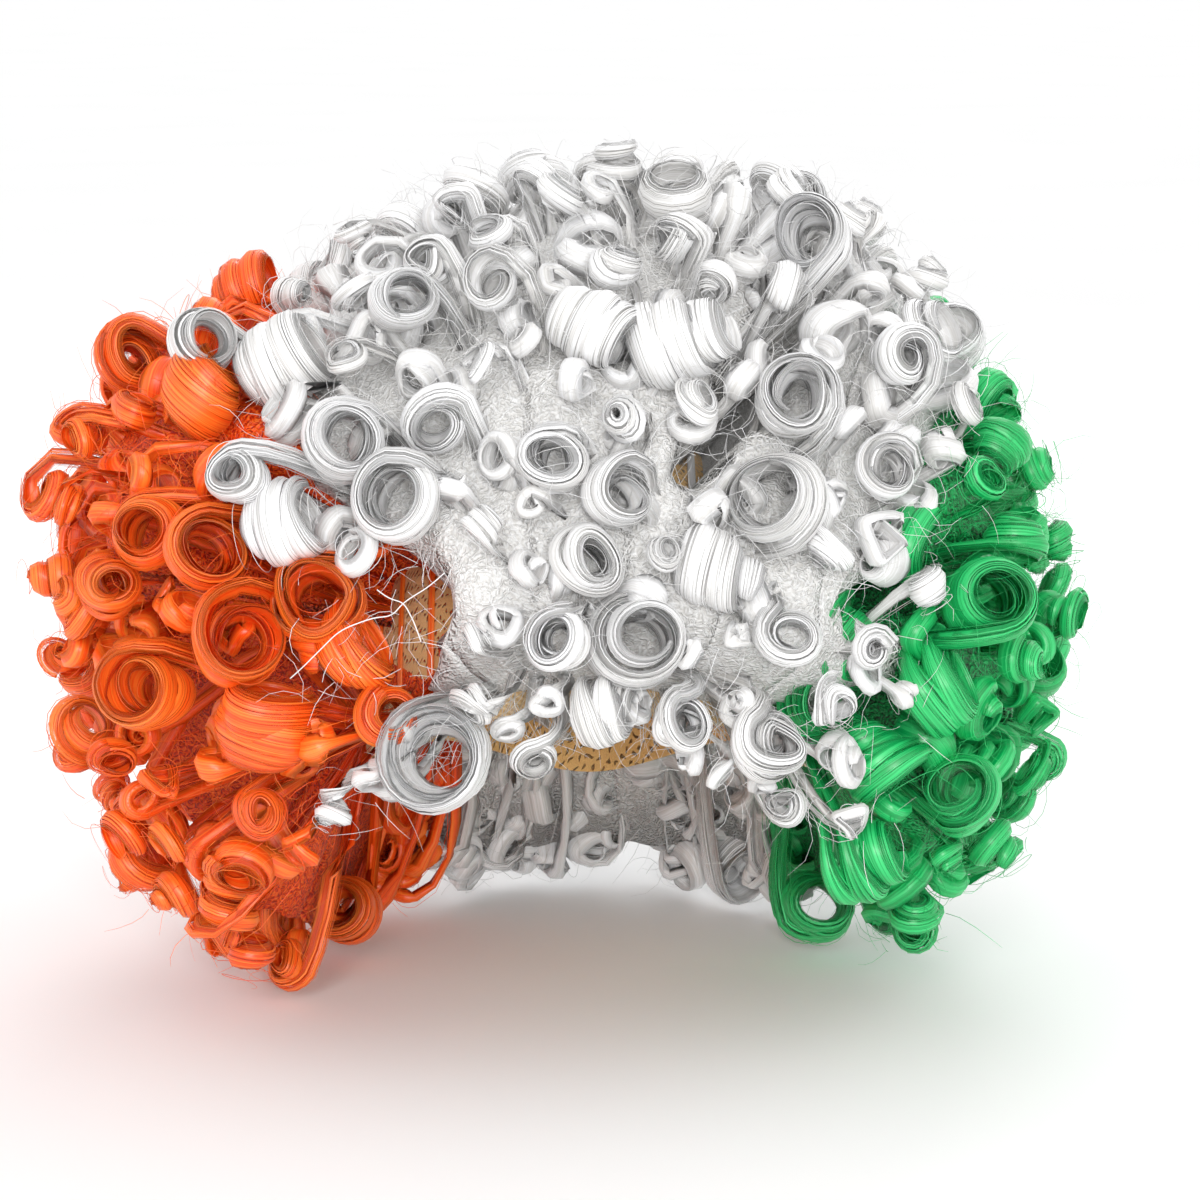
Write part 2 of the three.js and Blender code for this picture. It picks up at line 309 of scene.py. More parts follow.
def hair_finish(name, deep, middle, light):
    material, shader, start = new_finish("hair_" + name)
    fibre = start.node("ShaderNodeUVMap", {"uv_map": "fibre"})
    noise = {"Scale": 1.0, "Detail": 1.0, "Roughness": 0.7}
    streak, clump = (start.node("ShaderNodeTexNoise", {"noise_dimensions": "2D"},
                                {"Vector": fibre.scaled((*size, 1)), **noise})
                     for size in ((STREAKS_A_MM, STREAK_RUN_A_MM), (CLUMPS_A_MM, CLUMP_RUN_A_MM)))
    lift, shade, fray = (start.node("ShaderNodeAttribute", {"attribute_name": word}, out="Fac")
                         for word in ("lift", "shade", "fray"))
    # tone picks between painted shade, the hair's own colour and a painted highlight: painted darker towards the
    # root, lighter along the streaks, and varied at random by clump and lock
    tone = (lift * PAINTED_ROOT_SHADE + streak.between(0.36, 0.66) * STREAK_TONE_AND_GLINT
            + clump.between(0.3, 0.7) * CLUMP_TONE + shade * SHADE_TONE)
    colour = tone.between(0.5, 1.05).mix(tone.between(0.05, 0.55).mix(deep, middle), light)
    height = streak * 0.4 + clump
    bump = start.node("ShaderNodeBump", None, {"Strength": 0.4, "Distance": 0.0005, "Height": height})
    feed(shader, {"Base Color": colour, "Roughness": 0.22 + streak * 0.3, "Normal": bump,
                  "Alpha": (streak - fray * FRAY_OPENS).between(OPEN_BELOW, CLOSED_ABOVE),
                  "Specular IOR Level": 0.6,
                  "Sheen Weight": 0.5, "Sheen Roughness": 0.4, "Sheen Tint": light})
    material.use_transparent_shadow = False
    return material


# the close hair takes the same painted shade and painted highlight; its white is painted lighter than the ringlets'
# white, as painted light that lifts the shade in the close mass
CLOSE_COLOURS = {
    **HAIR_COLOURS,
    "white": ((0.66, 0.645, 0.62, 1), (0.78, 0.77, 0.755, 1), (0.86, 0.86, 0.86, 1)),
}
CONTOURS = 7.0
CONTOUR_NOISES = [
    # noise cells a metre, and the pattern's turn in radians
    (170.0, 0.0), (290.0, 1.1),
]


def close_finish(name, deep, middle, light):
    """Close hair: fine curled fibres crossing each other, drawn as contour lines of noise."""
    material, shader, start = new_finish("close_" + name)
    place = start.node("ShaderNodeTexCoord", out="Object")
    lines = 0
    for size, turned in CONTOUR_NOISES:
        spot = start.node("ShaderNodeMapping", None,
                          {"Vector": place, "Rotation": (turned, turned, 0), "Scale": (size,) * 3})
        noise = start.node("ShaderNodeTexNoise", None, {"Vector": spot, "Scale": 1.0, "Detail": 1.0})
        ridge = abs(start.maths("FRACT", noise * CONTOURS) - 0.5) * 2.0
        lines = ridge * 0.5 + lines
    # the contour lines take the painted highlight, and the spaces between them the painted shade
    colour = lines.between(0.5, 1.0).mix(lines.between(0.1, 0.6).mix(deep, middle), light)
    bump = start.node("ShaderNodeBump", None, {"Strength": 0.7, "Distance": 0.001, "Height": lines})
    feed(shader, {"Base Color": colour, "Roughness": 0.35 + lines * 0.2, "Normal": bump})
    return material


HAIR_FINISHES = {name: hair_finish(name, *colours) for name, colours in HAIR_COLOURS.items()}
CLOSE_FINISHES = {name: close_finish(name, *colours) for name, colours in CLOSE_COLOURS.items()}
print("hair finishes:", sorted(HAIR_FINISHES))

# %% [markdown]
# The cap is made as a knitter sees it: a ring at the rim that goes up in rounds to the crown. A circle is
# added, its edge is extruded round after round, and each new round is set to the cap's form by its azimuth. The
# crown is closed by merging the last round, and Solidify gives the net its wall.

# %% Knitted cap
CAP_SPOKES, CAP_ROUNDS, LAST_ROUND = 112, 30, 0.02
CAP_BEVEL, BAND_BEVEL = 0.0003, 0.0004


def cap_round(turn, share, lift):
    """Points round the cap at a share of the way from the crown to the rim."""
    azimuth = np.degrees(np.arccos(np.clip(np.cos(turn), -1, 1)))
    angle = np.radians(look_up(RIM, "azimuth", azimuth, "angle") * share)
    way = np.stack([np.sin(angle) * np.sin(turn), -np.sin(angle) * np.cos(turn), np.cos(angle)], -1)
    return cap_point(way, np.full(len(turn), lift))


def mesh_points(obj):
    points = np.empty(len(obj.data.vertices) * 3, np.float32)
    obj.data.vertices.foreach_get("co", points)
    return points.reshape(-1, 3).astype(float)


def move_points(obj, points):
    obj.data.vertices.foreach_set("co", np.asarray(points, np.float32).ravel())
    obj.data.update()


def set_round(obj, share, lift):
    """Sets the selected round to the cap's form; each point keeps its own azimuth."""
    points = mesh_points(obj)
    chosen = np.array([v.select for v in obj.data.vertices])
    turn = np.arctan2(points[chosen, 0] / CAP_HALF_WIDTH, -points[chosen, 1] / CAP_HALF_LENGTH)
    points[chosen] = cap_round(turn, share, lift)
    move_points(obj, points)


def knit_rounds(name, shares, lift, close):
    """A shell of the cap's form, extruded round by round from a circle."""
    bpy.ops.mesh.primitive_circle_add(vertices=CAP_SPOKES, radius=CAP_HALF_WIDTH)
    obj = bpy.context.object
    obj.name = obj.data.name = name
    set_round(obj, shares[0], lift)
    for share in shares[1:]:
        bpy.ops.object.mode_set(mode="EDIT")
        bpy.ops.mesh.extrude_region_move()
        bpy.ops.object.mode_set(mode="OBJECT")
        set_round(obj, share, lift)
    bpy.ops.object.mode_set(mode="EDIT")
    if close:
        bpy.ops.mesh.extrude_region_move()
        bpy.ops.mesh.merge(type="CENTER")
    bpy.ops.mesh.select_all(action="SELECT")
    bpy.ops.mesh.normals_make_consistent(inside=False)
    bpy.ops.object.mode_set(mode="OBJECT")
    return obj


def give_wall(obj, thickness, bevel):
    """Adds a wall outwards and rounds its edges, and applies both."""
    wall = obj.modifiers.new("wall", "SOLIDIFY")
    wall.thickness, wall.offset, wall.use_even_offset = thickness, 1, True
    edge = obj.modifiers.new("edge", "BEVEL")
    edge.width, edge.segments, edge.limit_method, edge.angle_limit = bevel, 2, "ANGLE", math.radians(50)
    for modifier in ("wall", "edge"):
        bpy.ops.object.modifier_apply(modifier=modifier)
    bpy.ops.object.shade_smooth()


cap = knit_rounds("cap_net", np.linspace(1, LAST_ROUND, CAP_ROUNDS), 0.0, close=True)
upward = float(np.mean([p.normal.z for p in cap.data.polygons]))
give_wall(cap, CAP_WALL, CAP_BEVEL)
print("cap:", len(cap.data.polygons), "faces, mean normal up", round(upward, 2))

# %% [markdown]
# The net has small slanted holes in staggered rows. It gets a UV map in millimetres that unrolls the cap
# from front to back, so the holes keep their size, and the finish works out for each point how far it is
# from the middle of its own hole.

# %% Cap net finish
NET_COLUMN, NET_ROW, NET_SLANT = 3.6, 2.6, 0.55
HOLE_FLATNESS, HOLE_NARROWNESS = 7.5, 22.0


def knit_map(obj, name):
    """A UV map in millimetres: across the cap, and along it from front to back."""
    points = mesh_points(obj)
    heights = points[:, 2] + CROWN_RISE
    way = unit(np.stack([points[:, 0] / CAP_HALF_WIDTH, points[:, 1] / CAP_HALF_LENGTH,
                         heights / np.where(heights > 0, CROWN_RISE, LOWER_CAP_DEPTH)], -1))
    across, along = np.arcsin(np.clip(way[:, 0], -1, 1)), np.arctan2(way[:, 1], way[:, 2])
    flat = 1000 * np.stack([across * CAP_HALF_WIDTH, along * CAP_HALF_LENGTH * np.cos(across)], -1)
    corners = np.empty(len(obj.data.loops), np.int32)
    obj.data.loops.foreach_get("vertex_index", corners)
    layer = obj.data.uv_layers.get(name) or obj.data.uv_layers.new(name=name)
    layer.data.foreach_set("uv", flat[corners].astype(np.float32).ravel())


def cap_finish():
    material, shader, start = new_finish("cap_knit")
    flat = start.node("ShaderNodeUVMap", {"uv_map": "knit"})
    x = start.node("ShaderNodeSeparateXYZ", None, {0: flat}, out="X")
    y = start.node("ShaderNodeSeparateXYZ", None, {0: flat}, out="Y")
    wander = start.node("ShaderNodeTexNoise", {"noise_dimensions": "2D"},
                        {"Vector": flat, "Scale": 0.25, "Detail": 1.0})
    row = y / NET_ROW + wander * 0.8
    step = start.maths("FLOOR", row)
    column = x / NET_COLUMN + step * 0.5 + wander
    in_row = row - step - 0.5
    in_column = column - start.maths("FLOOR", column) - 0.5 + in_row * NET_SLANT
    from_hole = start.maths("SQRT", in_row * in_row * HOLE_FLATNESS + in_column * in_column * HOLE_NARROWNESS)
    thread = from_hole.between(0.62, 1.0)
    twist = start.node("ShaderNodeTexNoise", {"noise_dimensions": "2D"},
                       {"Vector": flat, "Scale": 2.2, "Detail": 2.0})
    # the thread is painted darker towards each hole, as painted shade where it turns into the hole; the twist noise
    # is the yarn's own tone
    colour = (thread * 0.7 + twist * 0.4).mix((0.3, 0.13, 0.035, 1), (0.9, 0.56, 0.2, 1))
    height = thread + twist * 0.5
    bump = start.node("ShaderNodeBump", None, {"Strength": 0.7, "Distance": 0.0008, "Height": height})
    feed(shader, {"Base Color": colour, "Roughness": 0.75 - thread * 0.15, "Normal": bump,
                  "Alpha": from_hole.between(0.45, 0.55), "Sheen Weight": 0.3})
    return material


knit_map(cap, "knit")
cap.data.materials.append(cap_finish())
print("cap net: holes every", NET_COLUMN, "by", NET_ROW, "mm")

# %% [markdown]
# The rim band is woven elastic, nine millimetres wide, sewn over the edge of the cap. It is made as the
# cap is, from a few rounds, and its finish has slanted ribs.

# %% Rim band
BAND_ROUNDS = 7
band = knit_rounds("rim_elastic", np.linspace(1, BAND_SHARE, BAND_ROUNDS), CAP_WALL + SEWING_GAP, close=False)
give_wall(band, BAND_WALL, BAND_BEVEL)


def band_finish():
    material, shader, start = new_finish("rim_elastic")
    flat = start.node("ShaderNodeUVMap", {"uv_map": "knit"})
    ribs = start.node("ShaderNodeTexWave", {"wave_type": "BANDS", "bands_direction": "DIAGONAL"},
                      {"Vector": flat, "Scale": 0.32, "Distortion": 1.5, "Detail": 2.0, "Detail Scale": 2.0})
    fuzz = start.node("ShaderNodeTexNoise", {"noise_dimensions": "2D"},
                      {"Vector": flat, "Scale": 1.6, "Detail": 3.0})
    tone = ribs * 0.6 + fuzz * 0.5
    bump = start.node("ShaderNodeBump", None, {"Strength": 0.6, "Distance": 0.0006, "Height": tone})
    feed(shader, {"Base Color": tone.mix((0.52, 0.3, 0.12, 1), (0.86, 0.64, 0.36, 1)),
                  "Roughness": 0.65 + fuzz * 0.2, "Normal": bump, "Sheen Weight": 0.3})
    return material


knit_map(band, "knit")
band.data.materials.append(band_finish())
print("rim band:", len(band.data.polygons), "faces")

# %% [markdown]
# Thousands of locks can't be made one by one with operators, so they are made as arrays. A skein collects
# tubes: each tube is a row of points with a flattened ring of corners round every point. Both ends are
# closed, so every lock is a solid, and all the tubes of a weft become one mesh at the end.

# %% Skein of tubes
class Skein:
    """Collects closed tubes, with their fibre map and attributes, for one mesh."""

    def __init__(self):
        self.points, self.corners, self.sizes, self.maps = [], [], [], []
        self.lift, self.shade, self.fray = [], [], []
        self.count = 0

    def add(self, centres, widthwise, outward, half_width, half_thick, section,
            lift, shade, map_shift, fray=SOLID):
        rows, steps, sides = centres.shape[0], centres.shape[1], len(section)
        ring = (centres[:, :, None]
                + section[:, 0, None] * (half_width[:, :, None, None] * widthwise[:, :, None])
                + section[:, 1, None] * (half_thick[:, :, None, None] * outward[:, :, None]))
        number = self.count + np.arange(rows * steps * sides).reshape(rows, steps, sides)
        after = np.roll(number, -1, axis=2)
        quads = np.stack([number[:, :-1], after[:, :-1], after[:, 1:], number[:, 1:]], -1)
        run = np.linalg.norm(np.diff(centres, axis=1), axis=-1).cumsum(1) * 1000
        run = np.concatenate([np.zeros((rows, 1)), run], 1) + 7 * map_shift[:, None]
        girth = np.arange(sides + 1) / sides * 4000 * half_width.max(1)[:, None] + map_shift[:, None]
        u = np.broadcast_to(girth[:, None], (rows, steps, sides + 1))
        v = np.broadcast_to(run[:, :, None], u.shape)
        flat = np.stack([u, v], -1)
        maps = np.stack([flat[:, :-1, :-1], flat[:, :-1, 1:], flat[:, 1:, 1:], flat[:, 1:, :-1]], -2)
        ends = np.concatenate([number[:, 0, ::-1], number[:, -1]])
        end_maps = np.concatenate([flat[:, 0, -2::-1], flat[:, -1, :-1]])
        self.points.append(ring.reshape(-1, 3))
        self.corners += [quads.ravel(), ends.ravel()]
        self.sizes += [np.full(quads.size // 4, 4), np.full(len(ends), sides)]
        self.maps += [maps.reshape(-1, 2), end_maps.reshape(-1, 2)]
        self.lift.append(np.broadcast_to(lift[:, :, None], number.shape).ravel())
        self.shade.append(np.broadcast_to(shade[:, None, None], number.shape).ravel())
        self.fray.append(np.broadcast_to(fray, number.shape).ravel())
        self.count += number.size

    def triangles(self):
        return int(sum((s - 2).sum() for s in self.sizes))

    def mesh(self, name):
        points, corners = np.concatenate(self.points), np.concatenate(self.corners).astype(np.int32)
        sizes = np.concatenate(self.sizes).astype(np.int32)
        made = bpy.data.meshes.new(name)
        made.vertices.add(len(points))
        made.vertices.foreach_set("co", points.astype(np.float32).ravel())
        made.loops.add(len(corners))
        made.loops.foreach_set("vertex_index", corners)
        made.polygons.add(len(sizes))
        made.polygons.foreach_set("loop_start", np.concatenate([[0], sizes.cumsum()[:-1]]).astype(np.int32))
        made.polygons.foreach_set("use_smooth", np.ones(len(sizes), bool))
        made.update(calc_edges=True)
        layer = made.uv_layers.new(name="fibre")
        layer.data.foreach_set("uv", np.concatenate(self.maps).astype(np.float32).ravel())
        for word, values in (("lift", self.lift), ("shade", self.shade), ("fray", self.fray)):
            attribute = made.attributes.new(word, "FLOAT", "POINT")
            attribute.data.foreach_set("value", np.concatenate(values).astype(np.float32))
        made.validate()
        return made


def tube_ways(centres, guide):
    """Widthwise and outward directions of tubes: widthwise follows the guide, square to the tube."""
    ahead = unit(np.gradient(centres, axis=1))
    widthwise = unit(guide - (guide * ahead).sum(-1, keepdims=True) * ahead)
    return widthwise, np.cross(ahead, widthwise)


def round_section(sides):
    """Corners of a round tube's section."""
    turn = np.arange(sides) / sides * 2 * np.pi
    return np.stack([np.cos(turn), np.sin(turn)], -1)


def arched_section(points, bulge):
    """Corners of a band that is arched across and thin at both edges; the bulge is in half thicknesses."""
    turn = np.radians(np.linspace(80, -80, points + 2))
    across, lens = np.sin(turn) / np.sin(turn[0]), np.sqrt(np.cos(turn) - np.cos(turn[0]))
    arch = -bulge * (1 - np.cos(turn)) / (1 - np.cos(turn[0]))
    outer, inner = np.stack([across, arch + lens], -1), np.stack([across, arch - lens], -1)
    return np.concatenate([outer, inner[-2:0:-1]])


def piece_of(skein, name, material):
    obj = bpy.data.objects.new(name, skein.mesh(name))
    bpy.context.scene.collection.objects.link(obj)
    obj.data.materials.append(material)
    return obj


print("a band's section has", len(arched_section(4, 2.0)), "corners")

# %% [markdown]
# Two kinds of sewing show on the cap: the zigzag on the rim band, and the rows of stitches inside that
# hold the wefts. Both are thread, pale and slightly twisted. The zigzag is one long thin tube, so it is made
# from an array of points, with the same tube maker that makes the hair.

# %% Sewing thread
ZIGZAG_STEP, ZIGZAG_HALF, THREAD_RADIUS, THREAD_SIDES = 0.0026, 0.0026, 0.00035, 5


def thread_finish():
    material, shader, start = new_finish("sewing_thread")
    fibre = start.node("ShaderNodeUVMap", {"uv_map": "fibre"})
    twist = start.node("ShaderNodeTexWave", {"bands_direction": "DIAGONAL"}, {"Vector": fibre, "Scale": 0.9})
    bump = start.node("ShaderNodeBump", None, {"Strength": 0.5, "Distance": 0.0003, "Height": twist})
    feed(shader, {"Base Color": twist.mix((0.62, 0.44, 0.24, 1), (0.88, 0.74, 0.5, 1)),
                  "Roughness": 0.45 + twist * 0.2, "Normal": bump})
    return material


thread = thread_finish()
around = int(2 * math.pi * CAP_HALF_LENGTH / ZIGZAG_STEP)
turns = np.linspace(0, 2 * np.pi, 2 * around, endpoint=True)
middle_share, half_share = (1 + BAND_SHARE) / 2, (1 - BAND_SHARE) / 2 * ZIGZAG_HALF / BAND_WIDTH * 2
shares = middle_share + half_share * np.abs((np.arange(len(turns)) % 4) - 2) - half_share
azimuths = np.degrees(np.arccos(np.cos(turns)))
angles = np.radians(look_up(RIM, "azimuth", azimuths, "angle") * shares)
ways = np.stack([np.sin(angles) * np.sin(turns), -np.sin(angles) * np.cos(turns), np.cos(angles)], -1)
zigzag = cap_point(ways, np.full(len(ways), HAIR_STARTS + 0.4 * THREAD_RADIUS))[None]
skein = Skein()
across_ways, out_ways = tube_ways(zigzag, cap_normal(ways)[None])
even = np.full(zigzag.shape[:2], THREAD_RADIUS)
skein.add(zigzag, across_ways, out_ways, even, even, round_section(THREAD_SIDES),
          even * 0, np.zeros(1), np.zeros(1))
rim_stitching = piece_of(skein, "rim_stitching", thread)
print("rim stitching:", skein.triangles(), "triangles")

# %% [markdown]
# The wefts divide the cap from side to side: four orange, six white and three green. Inside the cap a
# row of short stitches marks each one.

# %% Wefts and their stitches inside the cap
STITCH_LENGTH, STITCH_PITCH = 0.0032, 0.0046
STITCH_SHARES, STITCH_LIFTS = np.array([0, 0.3, 0.7, 1]), np.array([0.3, -0.5, -0.5, 0.3])
COLOURS = [
    # angles across the cap, number of wefts, and metres from the hair's reach down to its close mass
    {"name": "orange", "from": -86, "to": -36, "wefts": 4, "under": 0.029},
    {"name": "white", "from": -36, "to": 48, "wefts": 6, "under": 0.032},
    {"name": "green", "from": 48, "to": 86, "wefts": 3, "under": 0.029},
]
WEFTS = []
for colour in COLOURS:
    edges = np.linspace(colour["from"], colour["to"], colour["wefts"] + 1)
    for k in range(colour["wefts"]):
        WEFTS.append({"name": f"weft_{colour['name']}_{k + 1}", "colour": colour["name"],
                      "from": edges[k], "to": edges[k + 1], "close_under": colour["under"], "skein": Skein()})

stitches = []
for weft in WEFTS:
    middle = (weft["from"] + weft["to"]) / 2
    ends = weft_end(np.array([middle, middle]), np.array([-1, 1]))
    length = math.radians(ends[1] - ends[0]) * CAP_HALF_LENGTH * math.cos(math.radians(middle))
    count = int(length / STITCH_PITCH)
    starts = np.linspace(ends[0], ends[1], count, endpoint=False)
    span = (ends[1] - ends[0]) / count * STITCH_LENGTH / STITCH_PITCH
    places = starts[:, None] + span * STITCH_SHARES
    stitches.append(np.stack([np.full(places.shape, middle), places], -1))
stitches = np.concatenate(stitches)
ways = cap_direction(stitches[..., 0], stitches[..., 1])
lifts = np.broadcast_to(STITCH_LIFTS * THREAD_RADIUS, ways.shape[:-1])
rows = cap_point(ways, lifts)
skein = Skein()
across_ways, out_ways = tube_ways(rows, cap_normal(ways))
even = np.full(rows.shape[:2], THREAD_RADIUS)
skein.add(rows, across_ways, out_ways, even, even, round_section(THREAD_SIDES),
          even * 0, np.zeros(len(rows)), np.arange(len(rows)))
weft_stitching = piece_of(skein, "weft_stitching", thread)
print(len(WEFTS), "wefts,", len(rows), "stitches,", skein.triangles(), "triangles")

# %% [markdown]
# On the outside each weft is a narrow tape, with the hair folded over it and sewn down. It shows as a
# thin pale line where the hair parts, so it gets the weft's own fibre finish.

# %% Weft tapes
TAPE_STEPS, TAPE_SIDES, TAPE_HALF_WIDTH, TAPE_HALF_THICK = 60, 6, 0.0016, 0.0006
for weft in WEFTS:
    across = np.full(TAPE_STEPS, (weft["from"] + weft["to"]) / 2)
    ends = weft_end(across[:1], -1)[0], weft_end(across[:1], 1)[0]
    along = np.linspace(ends[0] + 1, ends[1] - 1, TAPE_STEPS)
    ways = cap_direction(across, along)
    tape = cap_point(ways, np.full(TAPE_STEPS, CAP_WALL + TAPE_HALF_THICK))[None]
    sideways, outward = tube_ways(tape, (cap_direction(across + 1, along) - ways)[None])
    even = np.ones((1, TAPE_STEPS))
    weft["skein"].add(tape, sideways, outward, even * TAPE_HALF_WIDTH, even * TAPE_HALF_THICK,
                      round_section(TAPE_SIDES), even, np.ones(1), np.zeros(1))
print(len(WEFTS), "weft tapes")

# %% [markdown]
# A ringlet is a flat lock that leaves its root, rises through the hair and then winds into a coil. One
# formula makes all of them: an easy curve from the root to the coil, and then a spiral that tightens
# towards its tip. Each lock is a row of numbers, so the same formula also makes the loose strands round
# a ringlet, from rows that differ a little.

# %% Path of a lock
STEM_SHARE, STEM_PULL, OVAL_TURN = 0.17, 0.9, 6.3


def lock_paths(locks, steps):
    """Points, guide directions and lift of every lock."""
    t = locks["first"][:, None] + (locks["last"] - locks["first"])[:, None] * np.linspace(0, 1, steps)
    turned = np.maximum(t - STEM_SHARE, 0) / (1 - STEM_SHARE)
    angle = turned * 2 * np.pi * locks["turns"][:, None]
    radius = locks["radius"][:, None] * (1 - locks["tighten"][:, None] * turned)
    radius = radius * (1 + locks["oval"][:, None] * np.cos(2 * angle + locks["phase"][:, :1] * OVAL_TURN))
    climb = locks["shift"][:, None] + (locks["pitch"] * locks["turns"])[:, None] * (turned - 0.5)
    centre, axis, side, lead = (locks[key][:, None] for key in ("centre", "axis", "side", "lead"))
    coil = (centre + axis * climb[..., None]
            + radius[..., None] * (side * np.cos(angle)[..., None] + lead * np.sin(angle)[..., None]))
    root, rise = locks["root"][:, None], locks["rise"][:, None]
    enter = centre[:, 0] + side[:, 0] * locks["radius"][:, None]
    enter = (enter + axis[:, 0] * (locks["shift"] - locks["pitch"] * locks["turns"] / 2)[:, None])[:, None]
    pull = STEM_PULL * np.linalg.norm(enter - root, axis=-1, keepdims=True)
    u = np.clip(t / STEM_SHARE, 0, 1)[..., None]
    stem = ((2 * u**3 - 3 * u**2 + 1) * root + (u**3 - 2 * u**2 + u) * pull * rise
            + (3 * u**2 - 2 * u**3) * enter + (u**3 - u**2) * pull * lead)
    points = np.where(t[..., None] < STEM_SHARE, stem, coil)
    wave = np.sin(2 * np.pi * (locks["waves"][:, None, None] * t[..., None] + locks["phase"][:, None]))
    points = points + wave * (locks["sway"][:, None] * smooth(t / STEM_SHARE))[..., None]
    guide = unit(locks["flat"][:, None] * (1 - smooth(u)) + axis * smooth(u))
    return points, guide, np.clip(t / STEM_SHARE, 0, 1)


# %% [markdown]
# In a few places the photograph shows the cap between the locks. Hair may not stand there between the cap
# and the camera, so each place is kept open as a window. The close hair is followed outwards from the cap
# and ends before it would cover a window, a coil that would cover one is left out, and a stem that would
# is rooted beside it.

# %% Windows where the cap shows
WINDOWS = [
    # pixel x and y in the photograph, half width and half height in pixels
    (420, 602, 34, 46), (690, 468, 20, 22), (855, 600, 18, 24), (850, 692, 15, 18),
    (396, 660, 44, 40),
]
WINDOW_STEPS = 24
FACING_LEAST, FRONT_ALONG = -0.2, 40


def in_window(across, along, points):
    """Whether points of hair rooted at these places cover a window."""
    pixels, _ = photo_pixels(points)
    far = [np.hypot((pixels[..., 0] - x) / wide, (pixels[..., 1] - y) / tall) for x, y, wide, tall in WINDOWS]
    facing = growth(cap_direction(across, along)) @ to_camera > FACING_LEAST
    facing = facing & (np.asarray(along) < FRONT_ALONG)
    return (np.min(far, axis=0) < 1) & facing


def open_depth(across, along, full):
    """How far hair can stand from the cap, up to its full depth, before it covers a window."""
    depths = np.asarray(full)[..., None] * np.linspace(0, 1, WINDOW_STEPS)
    across, along = np.asarray(across)[..., None], np.asarray(along)[..., None]
    covers = in_window(across, along, hair_point(across, along, depths))
    first = np.where(covers.any(-1), covers.argmax(-1), WINDOW_STEPS - 1)
    return np.take_along_axis(depths, first[..., None], -1)[..., 0]


print(len(WINDOWS), "windows in the hair")

# %% [markdown]
# The clearest ringlets of the photograph are listed by where they show, how wide they are and whether they
# face the camera as a ring or lie as a barrel. Each is rooted at the place on the cap whose hair shows at
# that pixel, and its coil is then moved the last few millimetres, so that it shows exactly there.

# %% Ringlets that the photograph shows
PHOTO_RINGLETS = [
    # colour, pixel x, pixel y, width in mm, lies as, lean in degrees
    ("white", 610, 190, 34, "ring", 20), ("white", 797, 397, 29, "ring", 0),
    ("white", 885, 470, 22, "ring", 25), ("white", 902, 358, 21, "ring", 30),
    ("white", 775, 497, 32, "ring", -20), ("white", 555, 460, 22, "ring", -10),
    ("white", 405, 300, 23, "ring", 10), ("white", 430, 262, 17, "ring", -20),
    ("white", 685, 340, 29, "barrel", 15), ("white", 585, 325, 27, "barrel", -25),
    ("white", 722, 575, 27, "barrel", -20), ("white", 590, 560, 23, "ring", 15),
    ("white", 560, 640, 21, "ring", -25), ("white", 640, 640, 34, "ring", 10),
    ("white", 620, 495, 26, "ring", 30), ("white", 285, 362, 29, "barrel", 30),
    ("white", 240, 475, 20, "ring", -15), ("white", 283, 525, 30, "barrel", 15),
    ("white", 345, 440, 27, "ring", 10), ("white", 400, 500, 28, "ring", -15),
    ("white", 440, 758, 36, "ring", -10), ("white", 605, 712, 22, "barrel", 10),
    ("white", 682, 722, 21, "ring", 20), ("white", 768, 742, 28, "ring", 30),
    ("white", 815, 240, 26, "ring", -20), ("white", 790, 205, 24, "ring", 15),
    ("white", 205, 340, 22, "ring", 20), ("orange", 245, 290, 24, "barrel", 20),
    ("orange", 110, 585, 22, "ring", 10), ("orange", 150, 530, 27, "ring", -15),
    ("orange", 205, 552, 29, "ring", 20), ("orange", 320, 600, 31, "ring", 0),
    ("orange", 240, 640, 34, "ring", 15), ("orange", 352, 650, 30, "barrel", 30),
    ("orange", 265, 728, 32, "barrel", 75), ("orange", 262, 812, 18, "ring", 0),
    ("orange", 347, 908, 26, "ring", -15), ("orange", 266, 922, 26, "barrel", 5),
    ("orange", 130, 362, 27, "ring", 15), ("orange", 385, 715, 22, "ring", 20),
    ("orange", 150, 690, 30, "ring", -20), ("orange", 200, 400, 28, "barrel", 60),
    ("green", 930, 320, 18, "ring", 10), ("green", 970, 440, 25, "ring", -10),
    ("green", 985, 600, 29, "ring", 15), ("green", 832, 640, 34, "barrel", -30),
    ("green", 815, 705, 23, "ring", 20), ("green", 905, 545, 30, "barrel", -15),
    ("green", 935, 690, 32, "barrel", 30), ("green", 870, 752, 30, "barrel", -50),
    ("green", 868, 858, 30, "barrel", 10), ("green", 818, 905, 28, "ring", 10),
    ("green", 960, 790, 26, "ring", -20), ("green", 920, 420, 27, "ring", 25),
]
SPAN_MARGIN, HANG_BELOW, LEAST_DEPTH = 1.5, 0.004, 0.006
SPANS = {colour["name"]: (colour["from"] + SPAN_MARGIN, colour["to"] - SPAN_MARGIN) for colour in COLOURS}
LOWEST = cad_box[0][2] - HANG_BELOW
RAISED, STEM_TESTS, STEM_TESTED, FARTHEST_MOVE = 1.15, 10, 0.9, 35
GRID_ACROSS, GRID_ALONG, GRID_STEP, SEEN_LEAST = 84, 112, 1.5, -0.25
LOCK_TURNS, LOCK_TIGHTEN, LOCK_PITCH = (1.5, 2.1), (0.3, 0.72), (0.1, 0.75)
LOCK_WIDTH, LYING_WIDTH, LOCK_OVAL = (0.35, 0.6), 0.3, (0, 0.09)
LOCK_SWAY, LOCK_WAVES, MAP_SHIFT = 0.0008, (1.5, 3), 1000
RING_INSET, BARREL_INSET, PHOTO_INSET = 0.6, 1.0, 0.003
RING_UP, BARREL_FORWARD = 0.15, 0.25
dice = np.random.default_rng(11)


